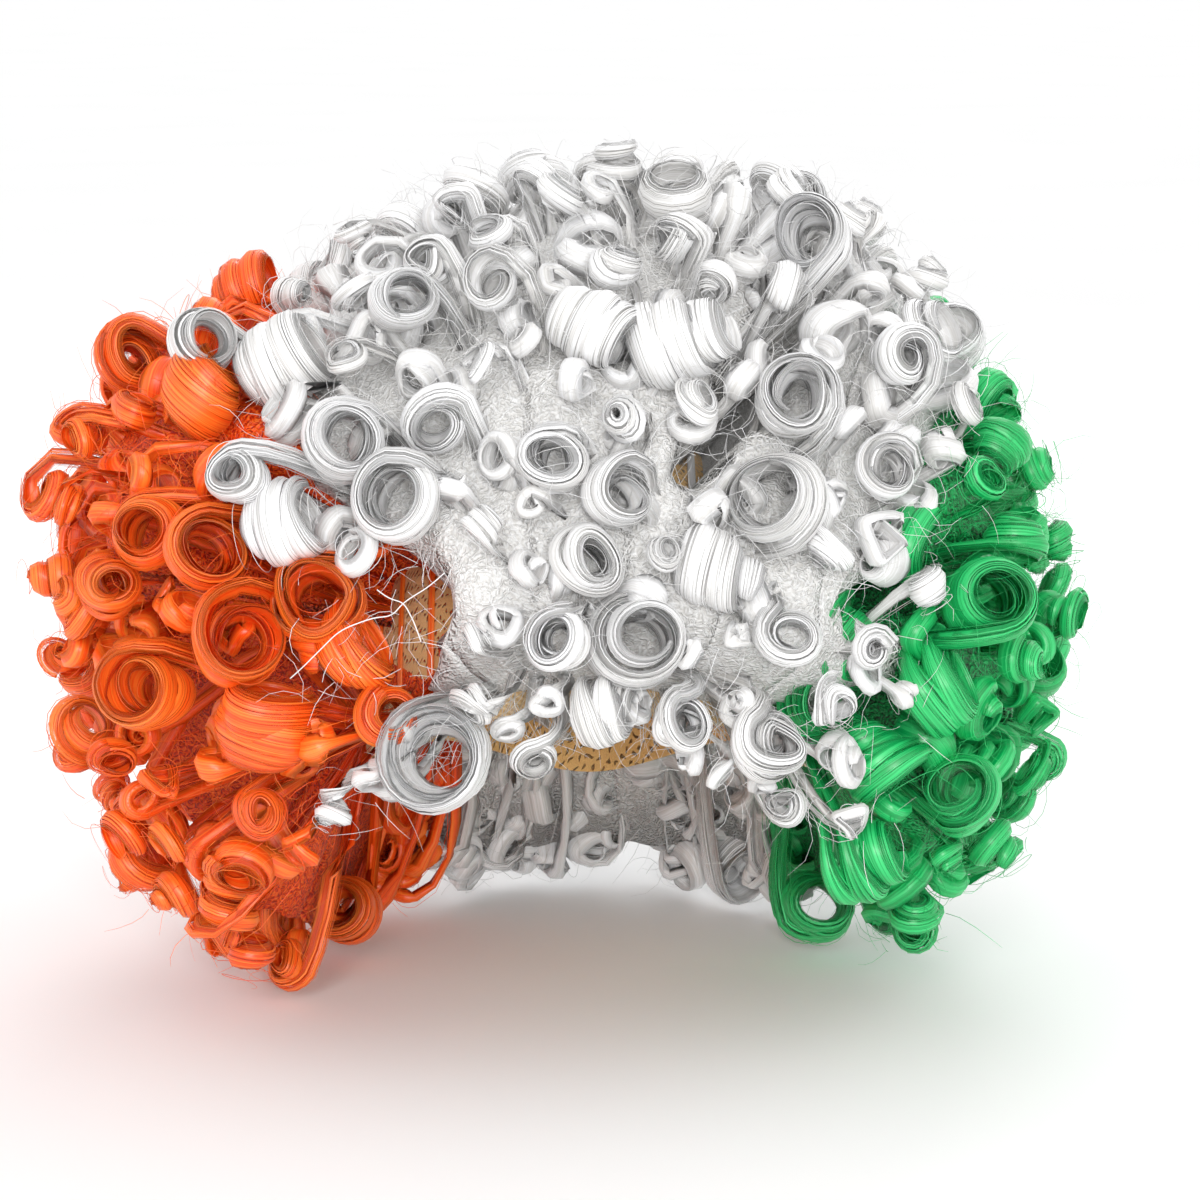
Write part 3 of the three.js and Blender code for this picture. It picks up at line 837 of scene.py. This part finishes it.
def new_locks(across, along, radius, inset, axis):
    """Rows for ringlets rooted at these places, with their coils inset from the hair's reach."""
    way = cap_direction(across, along)
    out, count = growth(way), len(across)
    depth = np.maximum(reach(across, way) - inset, LEAST_DEPTH)
    fore = unit(cap_direction(across, along + 1) - way)
    fore = unit(fore - (fore * out).sum(-1, keepdims=True) * out)
    lying = 1 - np.abs((axis * out).sum(-1))
    locks = {
        "across": across, "along": along, "rise": out, "flat": fore,
        "root": cap_point(way, np.full(count, CAP_WALL)),
        "centre": cap_point(way, np.full(count, HAIR_STARTS)) + out * depth[:, None],
        "radius": radius, "turns": dice.uniform(*LOCK_TURNS, count), "tighten": dice.uniform(*LOCK_TIGHTEN, count),
        "pitch": dice.choice([-1, 1], count) * dice.uniform(*LOCK_PITCH, count) * radius,
        "half_width": radius * (dice.uniform(*LOCK_WIDTH, count) + LYING_WIDTH * lying),
        "oval": dice.uniform(*LOCK_OVAL, count), "shift": np.zeros(count),
        "first": np.zeros(count), "last": np.ones(count), "sway": np.full(count, LOCK_SWAY),
        "waves": dice.uniform(*LOCK_WAVES, count), "phase": dice.uniform(0, 1, (count, 3)),
        "shade": dice.uniform(-1, 1, count),
        # nothing reads this one, but its draw keeps the later draws as they are
        "spare": dice.uniform(0, MAP_SHIFT, count),
    }
    return aim_locks(locks, axis)


def aim_locks(locks, axis):
    """Turns the coils to their axes, so that each is entered along the hair's growth where it can be."""
    rise = locks["rise"]
    aside = unit(np.cross(rise, locks["flat"]))
    steep = np.abs((rise * axis).sum(-1, keepdims=True))
    lead = rise * (1 - steep**4) + aside * steep**4
    lead = unit(lead - (lead * axis).sum(-1, keepdims=True) * axis)
    return {**locks, "axis": axis, "lead": lead, "side": np.cross(lead, axis)}


grid_across, grid_along = (g.ravel() for g in np.meshgrid(
    np.arange(-GRID_ACROSS, GRID_ACROSS + 1, GRID_STEP), np.arange(-GRID_ALONG, GRID_ALONG + 1, GRID_STEP)))
inside = (grid_along > weft_end(grid_across, -1)) & (grid_along < weft_end(grid_across, 1))
grid_across, grid_along = grid_across[inside], grid_along[inside]
grid_way = cap_direction(grid_across, grid_along)
grid_reach, grid_root = reach(grid_across, grid_way), cap_point(grid_way, np.full(len(grid_way), CAP_WALL))
grid_clear = open_depth(grid_across, grid_along, grid_reach) >= grid_reach
grid_seen = growth(grid_way) @ to_camera > SEEN_LEAST


def settled(locks):
    """The locks, raised clear of the wig's lowest point and rooted so that no stem covers a window."""
    centre, root, rise = locks["centre"].copy(), locks["root"].copy(), locks["rise"].copy()
    centre[:, 2] = np.maximum(centre[:, 2], LOWEST + RAISED * locks["radius"])
    share = np.linspace(0, STEM_TESTED, STEM_TESTS)[:, None]
    stems = root[:, None] + (centre - root)[:, None] * share
    for k in np.flatnonzero(in_window(locks["across"][:, None], locks["along"][:, None], stems).any(1)):
        off = np.hypot(grid_across - locks["across"][k], grid_along - locks["along"][k])
        near = np.flatnonzero(grid_clear & (off < FARTHEST_MOVE))
        near = near[np.argsort(off[near])]
        stems = grid_root[near, None] + (centre[k] - grid_root[near])[:, None] * share
        clear = ~in_window(grid_across[near, None], grid_along[near, None], stems).any(1)
        if clear.any():
            best = near[clear.argmax()]
            root[k], rise[k] = grid_root[best], growth(grid_way[best])
    return {**locks, "centre": centre, "root": root, "rise": rise}


def place_at(colour, x, y, inset):
    """The place on the cap whose hair shows at a pixel, and the small shift that puts it exactly there."""
    seen = (grid_across > SPANS[colour][0]) & (grid_across < SPANS[colour][1]) & grid_seen
    pixels, scale = photo_pixels(hair_point(grid_across, grid_along, grid_reach - inset))
    best = int(np.where(seen, np.hypot(*(pixels - (x, y)).T), 1e9).argmin())
    shift = (x - pixels[best, 0]) * scale[best] * camera_right - (y - pixels[best, 1]) * scale[best] * camera_up
    return grid_across[best], grid_along[best], shift


rows = []
for colour, x, y, width, lies, lean in PHOTO_RINGLETS:
    radius, turned = width / 2000, math.radians(lean)
    inset = radius * (RING_INSET if lies == "ring" else BARREL_INSET) + PHOTO_INSET
    if lies == "ring":
        axis = to_camera + math.sin(turned) * camera_right + RING_UP * camera_up
    else:
        axis = math.cos(turned) * camera_right + math.sin(turned) * camera_up + BARREL_FORWARD * to_camera
    across, along, shift = place_at(colour, x, y, inset)
    rows.append((across, along, radius, inset, unit(axis), shift))
photo_locks = new_locks(*(np.array([r[k] for r in rows]) for k in range(5)))
photo_locks["centre"] = photo_locks["centre"] + np.array([r[5] for r in rows])
photo_locks = settled(photo_locks)
moved = np.linalg.norm([r[5] for r in rows], axis=1) * 1000
print(len(rows), "ringlets from the photograph, moved", moved.mean().round(1), "mm on average,",
      moved.max().round(1), "at most")

# %% [markdown]
# Every other ringlet fills in. Places are thrown at random, from a fixed seed, and kept only if they are
# clear of those before, in an outer, an inner and a middle layer. The last ringlets hang at the nape.

# %% Ringlets that fill in
LAYERS = {
    # metres under the hair's reach, metres apart, least and most radius in metres, turns, share that faces outwards
    "outer": {"under": 0.004, "apart": 0.034, "radius": (0.0075, 0.0160), "turns": (1.4, 2.4), "rings": 0.5},
    "middle": {"under": 0.011, "apart": 0.0245, "radius": (0.007, 0.013), "turns": (1.1, 1.7), "rings": 0.5},
    "inner": {"under": 0.019, "apart": 0.034, "radius": (0.0085, 0.0135), "turns": (1.0, 1.6), "rings": 0.4},
}
THROWS, WIDEST_SINE, WIDEST_ACROSS = 7000, 0.995, 85
FULL_REACH, SMALLEST, SIDEWAYS = 0.09, 0.6, np.array([1.0, 0.03, 0.02])
RING_TILT, BARREL_TILT, FLAT_INSET = (5, 40), (60, 90), 0.4
SMALL_APART, WIDE_APART = 0.4, 0.6
NAPE_LOCKS, NAPE_ACROSS, NAPE_ABOVE_RIM = 70, (-52, 58), (0.5, 3)
NAPE_RADIUS, NAPE_INSET = (0.007, 0.0115), (0.1, 0.85)


def fill_layer(under, apart, radius, turns, rings, before):
    """Throws places at random and keeps those clear of the ringlets before."""
    across = np.degrees(np.arcsin(dice.uniform(-WIDEST_SINE, WIDEST_SINE, THROWS)))
    along = dice.uniform(-FARTHEST_ALONG, FARTHEST_ALONG, THROWS)
    inside = (along > weft_end(across, -1)) & (along < weft_end(across, 1)) & (np.abs(across) < WIDEST_ACROSS)
    across, along = across[inside], along[inside]
    way, count = cap_direction(across, along), inside.sum()
    out, far = growth(way), reach(across, way)
    small = np.clip(far / FULL_REACH, SMALLEST, 1)
    wide = dice.uniform(*radius, count) * small
    faces_out = dice.uniform(0, 1, count) < rings
    tilt = np.where(faces_out, dice.uniform(*RING_TILT, count), dice.uniform(*BARREL_TILT, count))
    tilt, around = np.radians(tilt)[:, None], dice.uniform(0, 2 * np.pi, count)[:, None]
    fore = unit(np.cross(out, SIDEWAYS))
    axis = np.cos(tilt) * out + np.sin(tilt) * (np.cos(around) * np.cross(fore, out) + np.sin(around) * fore)
    inset = wide * (np.sin(tilt) + FLAT_INSET * np.cos(tilt))[:, 0] + under * small
    deep = np.maximum(far - inset, LEAST_DEPTH)
    centres = hair_point(across, along, deep)
    kept, places = [], [*before]
    offsets = [np.zeros(3), camera_right, -camera_right, camera_up, -camera_up]
    covers = np.any([in_window(across, along, centres + wide[:, None] * offset) for offset in offsets], axis=0)
    for k in np.flatnonzero(~covers):
        near = np.linalg.norm(np.array(places) - centres[k], axis=1).min() if places else 1
        if near > apart * (SMALL_APART + WIDE_APART * wide[k] / radius[1]):
            kept.append(k)
            places.append(centres[k])
    locks = new_locks(across[kept], along[kept], wide[kept], inset[kept], axis[kept])
    locks["turns"] = dice.uniform(*turns, len(kept))
    return settled(locks)


outer_locks = fill_layer(**LAYERS["outer"], before=photo_locks["centre"])
inner_locks = fill_layer(**LAYERS["inner"], before=[])
middle_locks = fill_layer(**LAYERS["middle"], before=np.concatenate([photo_locks["centre"], outer_locks["centre"]]))
across = dice.uniform(*NAPE_ACROSS, NAPE_LOCKS)
along = weft_end(across, 1) - dice.uniform(*NAPE_ABOVE_RIM, NAPE_LOCKS)
far = reach(across, cap_direction(across, along))
nape_locks = settled(new_locks(
    across, along, dice.uniform(*NAPE_RADIUS, NAPE_LOCKS), far * dice.uniform(*NAPE_INSET, NAPE_LOCKS),
    unit(dice.normal(size=(NAPE_LOCKS, 3)))))
print([len(locks["across"]) for locks in (outer_locks, inner_locks, middle_locks, nape_locks)],
      "outer, inner, middle and nape ringlets fill in")

# %% [markdown]
# A lock is never one smooth ribbon. Each ringlet is a band or two of fibres that share its coil, arched
# like the rim of a wheel, and loose strands about and inside it. A band is thin at the root, full in the
# coil, close on its inner face, and frayed at its edges and tip. The ringlets deeper in the hair are made
# closer and from fewer corners, because only parts of them show.

# %% Weave the ringlets
BAND_ALONG = [0, 0.15, 0.28, 0.7, 0.9, 1.0]
BAND_BROAD = [0.2, 0.3, 0.9, 1.0, 0.8, 0.45]
BAND_THICK = [1.2, 1.2, 1.0, 0.9, 0.7, 0.25]
BAND_FRAY = [0.5, 0.5, 0.0, 0.0, 0.3, 1.3]
BAND_THICKNESS, STRAND_THICK = (0.0008, 0.0013), (0.00007, 0.00017)
EDGE_FRAY, MIDDLE_CLOSE = 2.4, 1.15
BAND_SPREAD, BAND_WANDER, BAND_VARIES = 0.35, (-0.06, 0.06), (0.85, 1.1)
STRAND_SPREAD, STRAND_WANDER, STRAND_SIDES = 1.05, (-0.45, 0.1), 3
STRAND_ALONG, STRAND_TAPER, FEWER_STEPS = [0, 0.7, 1], [1, 1, 0.3], 6
PART_SEAT, PART_ROOT, PART_LAST = 0.3, 0.004, (0.84, 1.0)
PART_TIGHTEN, PART_TURNS = (0.75, 1.15), (0.92, 1.08)
PART_WAVES, PART_SWAY = (1.5, 4), (0.0004, 0.0012)
LOCK_SHADE, PART_SHADE = 0.6, 0.4


def part_lock(own, parts, spread, wander):
    """Rows for the parts of each lock; a part whose stem covers a window starts at the coil."""
    rows = {key: np.repeat(values, parts, axis=0) for key, values in own.items()}
    count = len(rows["across"])
    seat = np.tile(np.linspace(-1, 1, parts) if parts > 1 else [0], len(own["across"]))
    rows["shift"] = rows["half_width"] * spread * (seat + dice.uniform(-PART_SEAT, PART_SEAT, count))
    rows["radius"] = rows["radius"] * (1 + wander)
    rows["tighten"] = rows["tighten"] * dice.uniform(*PART_TIGHTEN, count)
    rows["turns"] = rows["turns"] * dice.uniform(*PART_TURNS, count)
    rows["root"] = rows["root"] + dice.uniform(-PART_ROOT, PART_ROOT, (count, 3))
    rows["last"] = dice.uniform(*PART_LAST, count)
    rows["waves"], rows["phase"] = dice.uniform(*PART_WAVES, count), dice.uniform(0, 1, (count, 3))
    rows["sway"] = dice.uniform(*PART_SWAY, count)
    rows["shade"] = rows["shade"] * LOCK_SHADE + dice.uniform(-PART_SHADE, PART_SHADE, count)
    points, _, lift = lock_paths(rows, WINDOW_STEPS)
    covers = (in_window(rows["across"][:, None], rows["along"][:, None], points) & (lift < 1)).any(1)
    rows["first"] = np.where(covers, STEM_SHARE, rows["first"])
    return rows, count


def weave(locks, steps, bands, strands, corners, bulge, cant, close):
    """Adds the locks to the wefts that they grow from; close says how tightly the fibres of a band lie."""
    section = arched_section(corners, bulge)
    share = np.linspace(0, 1, steps)
    fray = EDGE_FRAY * section[:, 0] ** 2 - MIDDLE_CLOSE - close
    fray = fray + np.interp(share, BAND_ALONG, BAND_FRAY)[:, None]
    fray[:, corners + 2:] = SOLID
    for weft in WEFTS:
        mine = (locks["across"] >= weft["from"]) & (locks["across"] < weft["to"])
        if not mine.any():
            continue
        own = {key: values[mine] for key, values in locks.items()}
        rows, count = part_lock(own, bands, BAND_SPREAD, dice.uniform(*BAND_WANDER, bands * mine.sum()))
        centres, guide, lift = lock_paths(rows, steps)
        broad = (rows["half_width"] * dice.uniform(*BAND_VARIES, count))[:, None]
        broad = broad * np.interp(share, BAND_ALONG, BAND_BROAD)
        thick = dice.uniform(*BAND_THICKNESS, count)[:, None] * np.interp(share, BAND_ALONG, BAND_THICK)
        widthwise, outward = tube_ways(centres, guide)
        tip = np.radians(dice.uniform(*cant, count))[:, None, None]
        ways = widthwise * np.cos(tip) + outward * np.sin(tip), outward * np.cos(tip) - widthwise * np.sin(tip)
        weft["skein"].add(centres, *ways, broad, thick, section,
                          lift, rows["shade"], dice.uniform(0, MAP_SHIFT, count), fray)
        rows, count = part_lock(own, strands, STRAND_SPREAD, dice.uniform(*STRAND_WANDER, strands * mine.sum()))
        centres, guide, lift = lock_paths(rows, steps - FEWER_STEPS)
        taper = np.interp(np.linspace(0, 1, steps - FEWER_STEPS), STRAND_ALONG, STRAND_TAPER)
        thick = dice.uniform(*STRAND_THICK, count)[:, None] * taper
        weft["skein"].add(centres, *tube_ways(centres, guide), thick, thick, round_section(STRAND_SIDES),
                          lift, rows["shade"], dice.uniform(0, MAP_SHIFT, count))


weave(photo_locks, 54, bands=2, strands=5, corners=3, bulge=4.2, cant=(-12, 12), close=0)
weave(outer_locks, 38, bands=1, strands=4, corners=3, bulge=4.2, cant=(-15, 15), close=0)
weave(inner_locks, 24, bands=1, strands=1, corners=2, bulge=3.0, cant=(-20, 20), close=3)
weave(nape_locks, 26, bands=1, strands=3, corners=2, bulge=3.0, cant=(-20, 20), close=3)
weave(middle_locks, 30, bands=1, strands=3, corners=2, bulge=3.0, cant=(-20, 20), close=3)
print("ringlets:", sum(w["skein"].triangles() for w in WEFTS), "triangles")

# %% [markdown]
# Frizz: single fibres that have sprung loose lie over the ringlets and stand off the outline. Each is a
# thin arc or a bit of spiral. Some are rooted a few degrees outside their own weft, so the colours mingle
# where they meet. Short hairs hang from the front edge in the same way, and two loose white threads lie
# over the orange curls where the photograph shows them.

# %% Frizz
FRIZZ, FRIZZ_STEPS, FRIZZ_THICK = 7000, 5, (0.00006, 0.00013)
FRIZZ_ALONG, FRIZZ_TAPER, FRIZZ_PROUD = [0, 0.6, 1], [1, 1, 0.4], 0.008
FRIZZ_SINE, FRIZZ_STRAYS, FRIZZ_WIDEST, FRIZZ_OUTWARD = 0.99, 1.2, 85.9, 0.2
FRIZZ_STARTS, FRIZZ_BOW, FRIZZ_SWEEP, FRIZZ_DRIFT = (0.6, 0.95), (0.005, 0.014), (0.8, 2.6), 0.012
SHORT_HAIRS, SHORT_ACROSS, SHORT_BEHIND_RIM = 260, (-34, 54), (0.5, 4)
SHORT_STARTS, SHORT_BOW, SHORT_SWEEP, SHORT_DRIFT = (0.001, 0.02), (0.012, 0.024), (0.7, 1.6), 0.006
SHORT_OUTWARD, SHORT_DOWN, SHORT_STRAYS = 0.5, (0, 0, -0.8), 0.4
THREAD_NEARER, LOOSE_RADIUS, LOOSE_SIDES = 0.012, 0.0002, 4
STEPS_A_KNOT, SMOOTHED_OVER = 8, 7
LOOSE_THREADS_PX = [
    [(452, 566), (430, 586), (404, 602), (392, 616), (372, 618), (340, 630), (318, 652), (302, 668), (284, 684)],
    [(372, 586), (388, 598), (404, 603), (414, 622), (424, 650)],
]


def loose_fibres(across, start, ahead, bow, sweep, drift):
    """Adds thin arcs to the wefts, each bent with its own bow and drawn out by its drift."""
    count, share = len(across), np.linspace(0, 1, FRIZZ_STEPS)
    bend = unit(np.cross(ahead, dice.normal(size=(count, 3))))
    binormal = np.cross(ahead, bend)[:, None]
    angle = (sweep[:, None] * share)[..., None]
    arc = ahead[:, None] * np.sin(angle) + bend[:, None] * (1 - np.cos(angle))
    centres = start[:, None] + bow[:, None, None] * arc
    centres = centres + binormal * (drift[:, None] * share)[..., None]
    low, high = np.array(cad_box[0]) - FRIZZ_PROUD, np.array(cad_box[1]) + FRIZZ_PROUD
    near = ((centres > low) & (centres < high)).all(axis=(1, 2))
    ways = tube_ways(centres, binormal + 0 * centres)
    thick = dice.uniform(*FRIZZ_THICK, count)[:, None] * np.interp(share, FRIZZ_ALONG, FRIZZ_TAPER)
    shade, shifts = dice.uniform(-0.5, 1, count), dice.uniform(0, MAP_SHIFT, count)
    for weft in WEFTS:
        mine = near & (across >= weft["from"]) & (across < weft["to"])
        weft["skein"].add(centres[mine], ways[0][mine], ways[1][mine], thick[mine], thick[mine],
                          round_section(STRAND_SIDES), np.ones((mine.sum(), FRIZZ_STEPS)), shade[mine], shifts[mine])


across = np.degrees(np.arcsin(dice.uniform(-FRIZZ_SINE, FRIZZ_SINE, FRIZZ * 2)))
along = dice.uniform(-FARTHEST_ALONG, FARTHEST_ALONG, FRIZZ * 2)
inside = (along > weft_end(across, -1)) & (along < weft_end(across, 1))
across, along = across[inside][:FRIZZ], along[inside][:FRIZZ]
count = len(across)
way = cap_direction(across, along)
loose_fibres(
    np.clip(across + dice.normal(0, FRIZZ_STRAYS, count), -FRIZZ_WIDEST, FRIZZ_WIDEST),
    hair_point(across, along, reach(across, way) * dice.uniform(*FRIZZ_STARTS, count)),
    unit(unit(dice.normal(size=(count, 3))) + FRIZZ_OUTWARD * growth(way)),
    dice.uniform(*FRIZZ_BOW, count), dice.uniform(*FRIZZ_SWEEP, count),
    dice.uniform(-FRIZZ_DRIFT, FRIZZ_DRIFT, count))
across = dice.uniform(*SHORT_ACROSS, SHORT_HAIRS)
along = weft_end(across, -1) + dice.uniform(*SHORT_BEHIND_RIM, SHORT_HAIRS)
loose_fibres(
    across, hair_point(across, along, dice.uniform(*SHORT_STARTS, SHORT_HAIRS)),
    unit(growth(cap_direction(across, along)) * SHORT_OUTWARD + SHORT_DOWN
         + SHORT_STRAYS * dice.normal(size=(SHORT_HAIRS, 3))),
    dice.uniform(*SHORT_BOW, SHORT_HAIRS), dice.uniform(*SHORT_SWEEP, SHORT_HAIRS),
    dice.uniform(-SHORT_DRIFT, SHORT_DRIFT, SHORT_HAIRS))
for pixels in LOOSE_THREADS_PX:
    across, along, _ = place_at("orange", *pixels[len(pixels) // 2], 0.0)
    outside = hair_point(across, along, reach(across, cap_direction(across, along)))
    nearness = (outside - CAMERA_AIM) @ to_camera + THREAD_NEARER
    scale = (CAMERA_DISTANCE - nearness) * math.tan(HALF_VIEW) / (PHOTO_SIDE / 2)
    knots, fine = np.arange(len(pixels)), np.linspace(0, len(pixels) - 1, STEPS_A_KNOT * len(pixels))
    evenly = np.full(SMOOTHED_OVER, 1 / SMOOTHED_OVER)
    right, down = (np.convolve(np.interp(fine, knots, column), evenly, "valid") for column in np.array(pixels).T)
    drawn = (CAMERA_AIM + to_camera * nearness + (right - PHOTO_SIDE / 2)[:, None] * scale * camera_right
             - (down - PHOTO_SIDE / 2)[:, None] * scale * camera_up)[None]
    even = np.full(drawn.shape[:2], LOOSE_RADIUS)
    first_white = WEFTS[COLOURS[0]["wefts"]]
    first_white["skein"].add(drawn, *tube_ways(drawn, to_camera + 0 * drawn), even, even,
                             round_section(LOOSE_SIDES), np.ones(drawn.shape[:2]), np.ones(1), np.zeros(1))
print("frizz:", count, "fibres and", SHORT_HAIRS, "short hairs")

# %% [markdown]
# Under the ringlets the hair is a close mass. For each weft a grid is added, laid over the cap at the
# depth of that mass and extruded down to the cap, so that no gap between ringlets ever shows an empty
# inside. It starts inside the cap's wall, so that at the windows, where it has no depth, the cap shows.

# %% Close hair under the ringlets
UNDERLAY_COLUMNS, UNDERLAY_ROWS = 9, 52
SUNK, LEAST_WALL = CAP_WALL / 2 - HAIR_STARTS, 0.0003
RIM_RAMP, RIM_LOW, LUMPS_HIGH = 0.08, 0.08, 0.002
SMALLEST_CLOSE, LEAST_CLOSE, LEAST_LUMPY = 0.55, 0.004, 0.001
EDGE_MARGIN = 0.02


def underlay_depth(across, along, under):
    way = cap_direction(across, along)
    far = reach(across, way)
    start, end = weft_end(across, -1), weft_end(across, 1)
    share = (along - start) / (end - start)
    rim = smooth(share / RIM_RAMP)
    outside = hair_point(across, along, far) * 1000
    lumps = np.sin(outside[..., 0] * 0.21 + 1) * np.sin(outside[..., 1] * 0.19) + np.sin(outside[..., 2] * 0.23 + 2)
    deep = np.maximum(far - under * np.clip(far / FULL_REACH, SMALLEST_CLOSE, 1), LEAST_CLOSE) + LUMPS_HIGH * lumps
    full = np.maximum(deep, LEAST_LUMPY) * (RIM_LOW + (1 - RIM_LOW) * rim)
    return SUNK + LEAST_WALL + open_depth(across, along, full)


for weft in WEFTS:
    bpy.ops.mesh.primitive_grid_add(x_subdivisions=UNDERLAY_COLUMNS, y_subdivisions=UNDERLAY_ROWS, size=2)
    under = bpy.context.object
    places = mesh_points(under)
    across = weft["from"] + (weft["to"] - weft["from"]) * (places[:, 0] + 1) / 2
    ends = weft_end(across, -1), weft_end(across, 1)
    along = ends[0] + (ends[1] - ends[0]) * (places[:, 1] + 1) / 2
    along = np.clip(along, ends[0] + EDGE_MARGIN, ends[1] - EDGE_MARGIN)
    bpy.ops.object.mode_set(mode="EDIT")
    bpy.ops.mesh.select_all(action="SELECT")
    bpy.ops.mesh.extrude_region_move()
    bpy.ops.object.mode_set(mode="OBJECT")
    raised = np.array([v.select for v in under.data.vertices])
    both = mesh_points(under)
    order = {tuple(np.round(p[:2], 5)): k for k, p in enumerate(places)}
    index = np.array([order[tuple(np.round(p[:2], 5))] for p in both])
    depth = np.where(raised, underlay_depth(across, along, weft["close_under"])[index], SUNK)
    move_points(under, hair_point(across[index], along[index], depth))
    under.data.uv_layers[0].name = "fibre"
    bpy.ops.object.shade_smooth()
    under.data.materials.append(CLOSE_FINISHES[weft["colour"]])
    weft["under"] = under
print("close hair:", sum(len(w["under"].data.polygons) for w in WEFTS), "faces")

# %% [markdown]
# Every weft is now joined into one piece: its ringlets, frizz and close hair.

# %% Join each weft
for weft in WEFTS:
    made = piece_of(weft["skein"], "hair_" + weft["name"], HAIR_FINISHES[weft["colour"]])
    bpy.ops.object.select_all(action="DESELECT")
    weft["under"].select_set(True)
    made.select_set(True)
    bpy.context.view_layer.objects.active = made
    bpy.ops.object.join()
    weft["piece"] = made
sizes = {w["name"]: sum(len(p.vertices) - 2 for p in w["piece"].data.polygons) for w in WEFTS}
print("triangles a weft:", sizes, "in all", sum(sizes.values()))

# %% [markdown]
# Each piece rides on the one body and stands for its CAD node, which is hidden.
# The cap is one sheet of stretch net, cut smaller than it is when worn.

# %% Ride on the frame
PIECES = [(cap, "cap", "cap_knit"), (band, "rim_band", "rim_elastic")]
PIECES += [(w["piece"], w["name"], "hair_" + w["colour"]) for w in WEFTS]
for piece, node, slot in PIECES:
    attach(piece, "root")
    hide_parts(node)
for piece in (rim_stitching, weft_stitching):
    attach(piece, "root")

# %% [markdown]
# The studio: a wide pale floor just under the lowest curls, a broad soft light from the front, a fill from
# the green side, a light behind, and a small one by the camera that draws bright lines along the curls.

# %% Studio
FLOOR_SIDE, FLOOR_GAP, SKY = 80, 0.001, 0.9
LIGHTS_AIM = (0, 0, -0.05)
low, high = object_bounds()
bpy.ops.mesh.primitive_plane_add(size=FLOOR_SIDE, location=(0, 0, low.z - FLOOR_GAP))
floor = bpy.context.object
floor.name = "studio_floor"
paper, paper_shader, paper_start = new_finish("studio_paper")
paper_place = paper_start.node("ShaderNodeTexCoord", out="Object")
grain = paper_start.node("ShaderNodeTexNoise", None, {"Vector": paper_place, "Scale": 3.0})
feed(paper_shader, {"Base Color": grain.mix((0.90, 0.90, 0.90, 1), (0.94, 0.94, 0.94, 1)), "Roughness": 0.8})
floor.data.materials.append(paper)

LIGHTS = [
    # name, kind, place, size in metres or angle in degrees, strength
    ("key", "SUN", (-0.15, -1.0, 0.42), 20, 1.0),
    ("fill", "SUN", (0.7, -0.8, 0.9), 50, 0.3),
    ("back", "AREA", (0.3, 1.4, 1.1), 1.0, 8),
    ("front", "AREA", (0.15, -1.4, 0.25), 0.16, 6),
]
for name, kind, place, size, strength in LIGHTS:
    bpy.ops.object.light_add(type=kind, location=place)
    light = bpy.context.object
    light.name = name + "_light"
    light.data.energy = strength
    if kind == "SUN":
        light.data.angle = math.radians(size)
    else:
        light.data.size = size
    aim = -np.array(place) + LIGHTS_AIM
    light.rotation_euler = (math.atan2(math.hypot(aim[0], aim[1]), -aim[2]), 0, math.atan2(-aim[0], aim[1]))
world = bpy.data.worlds.new("studio")
bpy.context.scene.world = world
world.use_nodes = True
world.node_tree.nodes["Background"].inputs["Color"].default_value = (1, 1, 1, 1)
world.node_tree.nodes["Background"].inputs["Strength"].default_value = SKY
bpy.context.scene.view_settings.view_transform = "Standard"
print(len(LIGHTS), "lights")
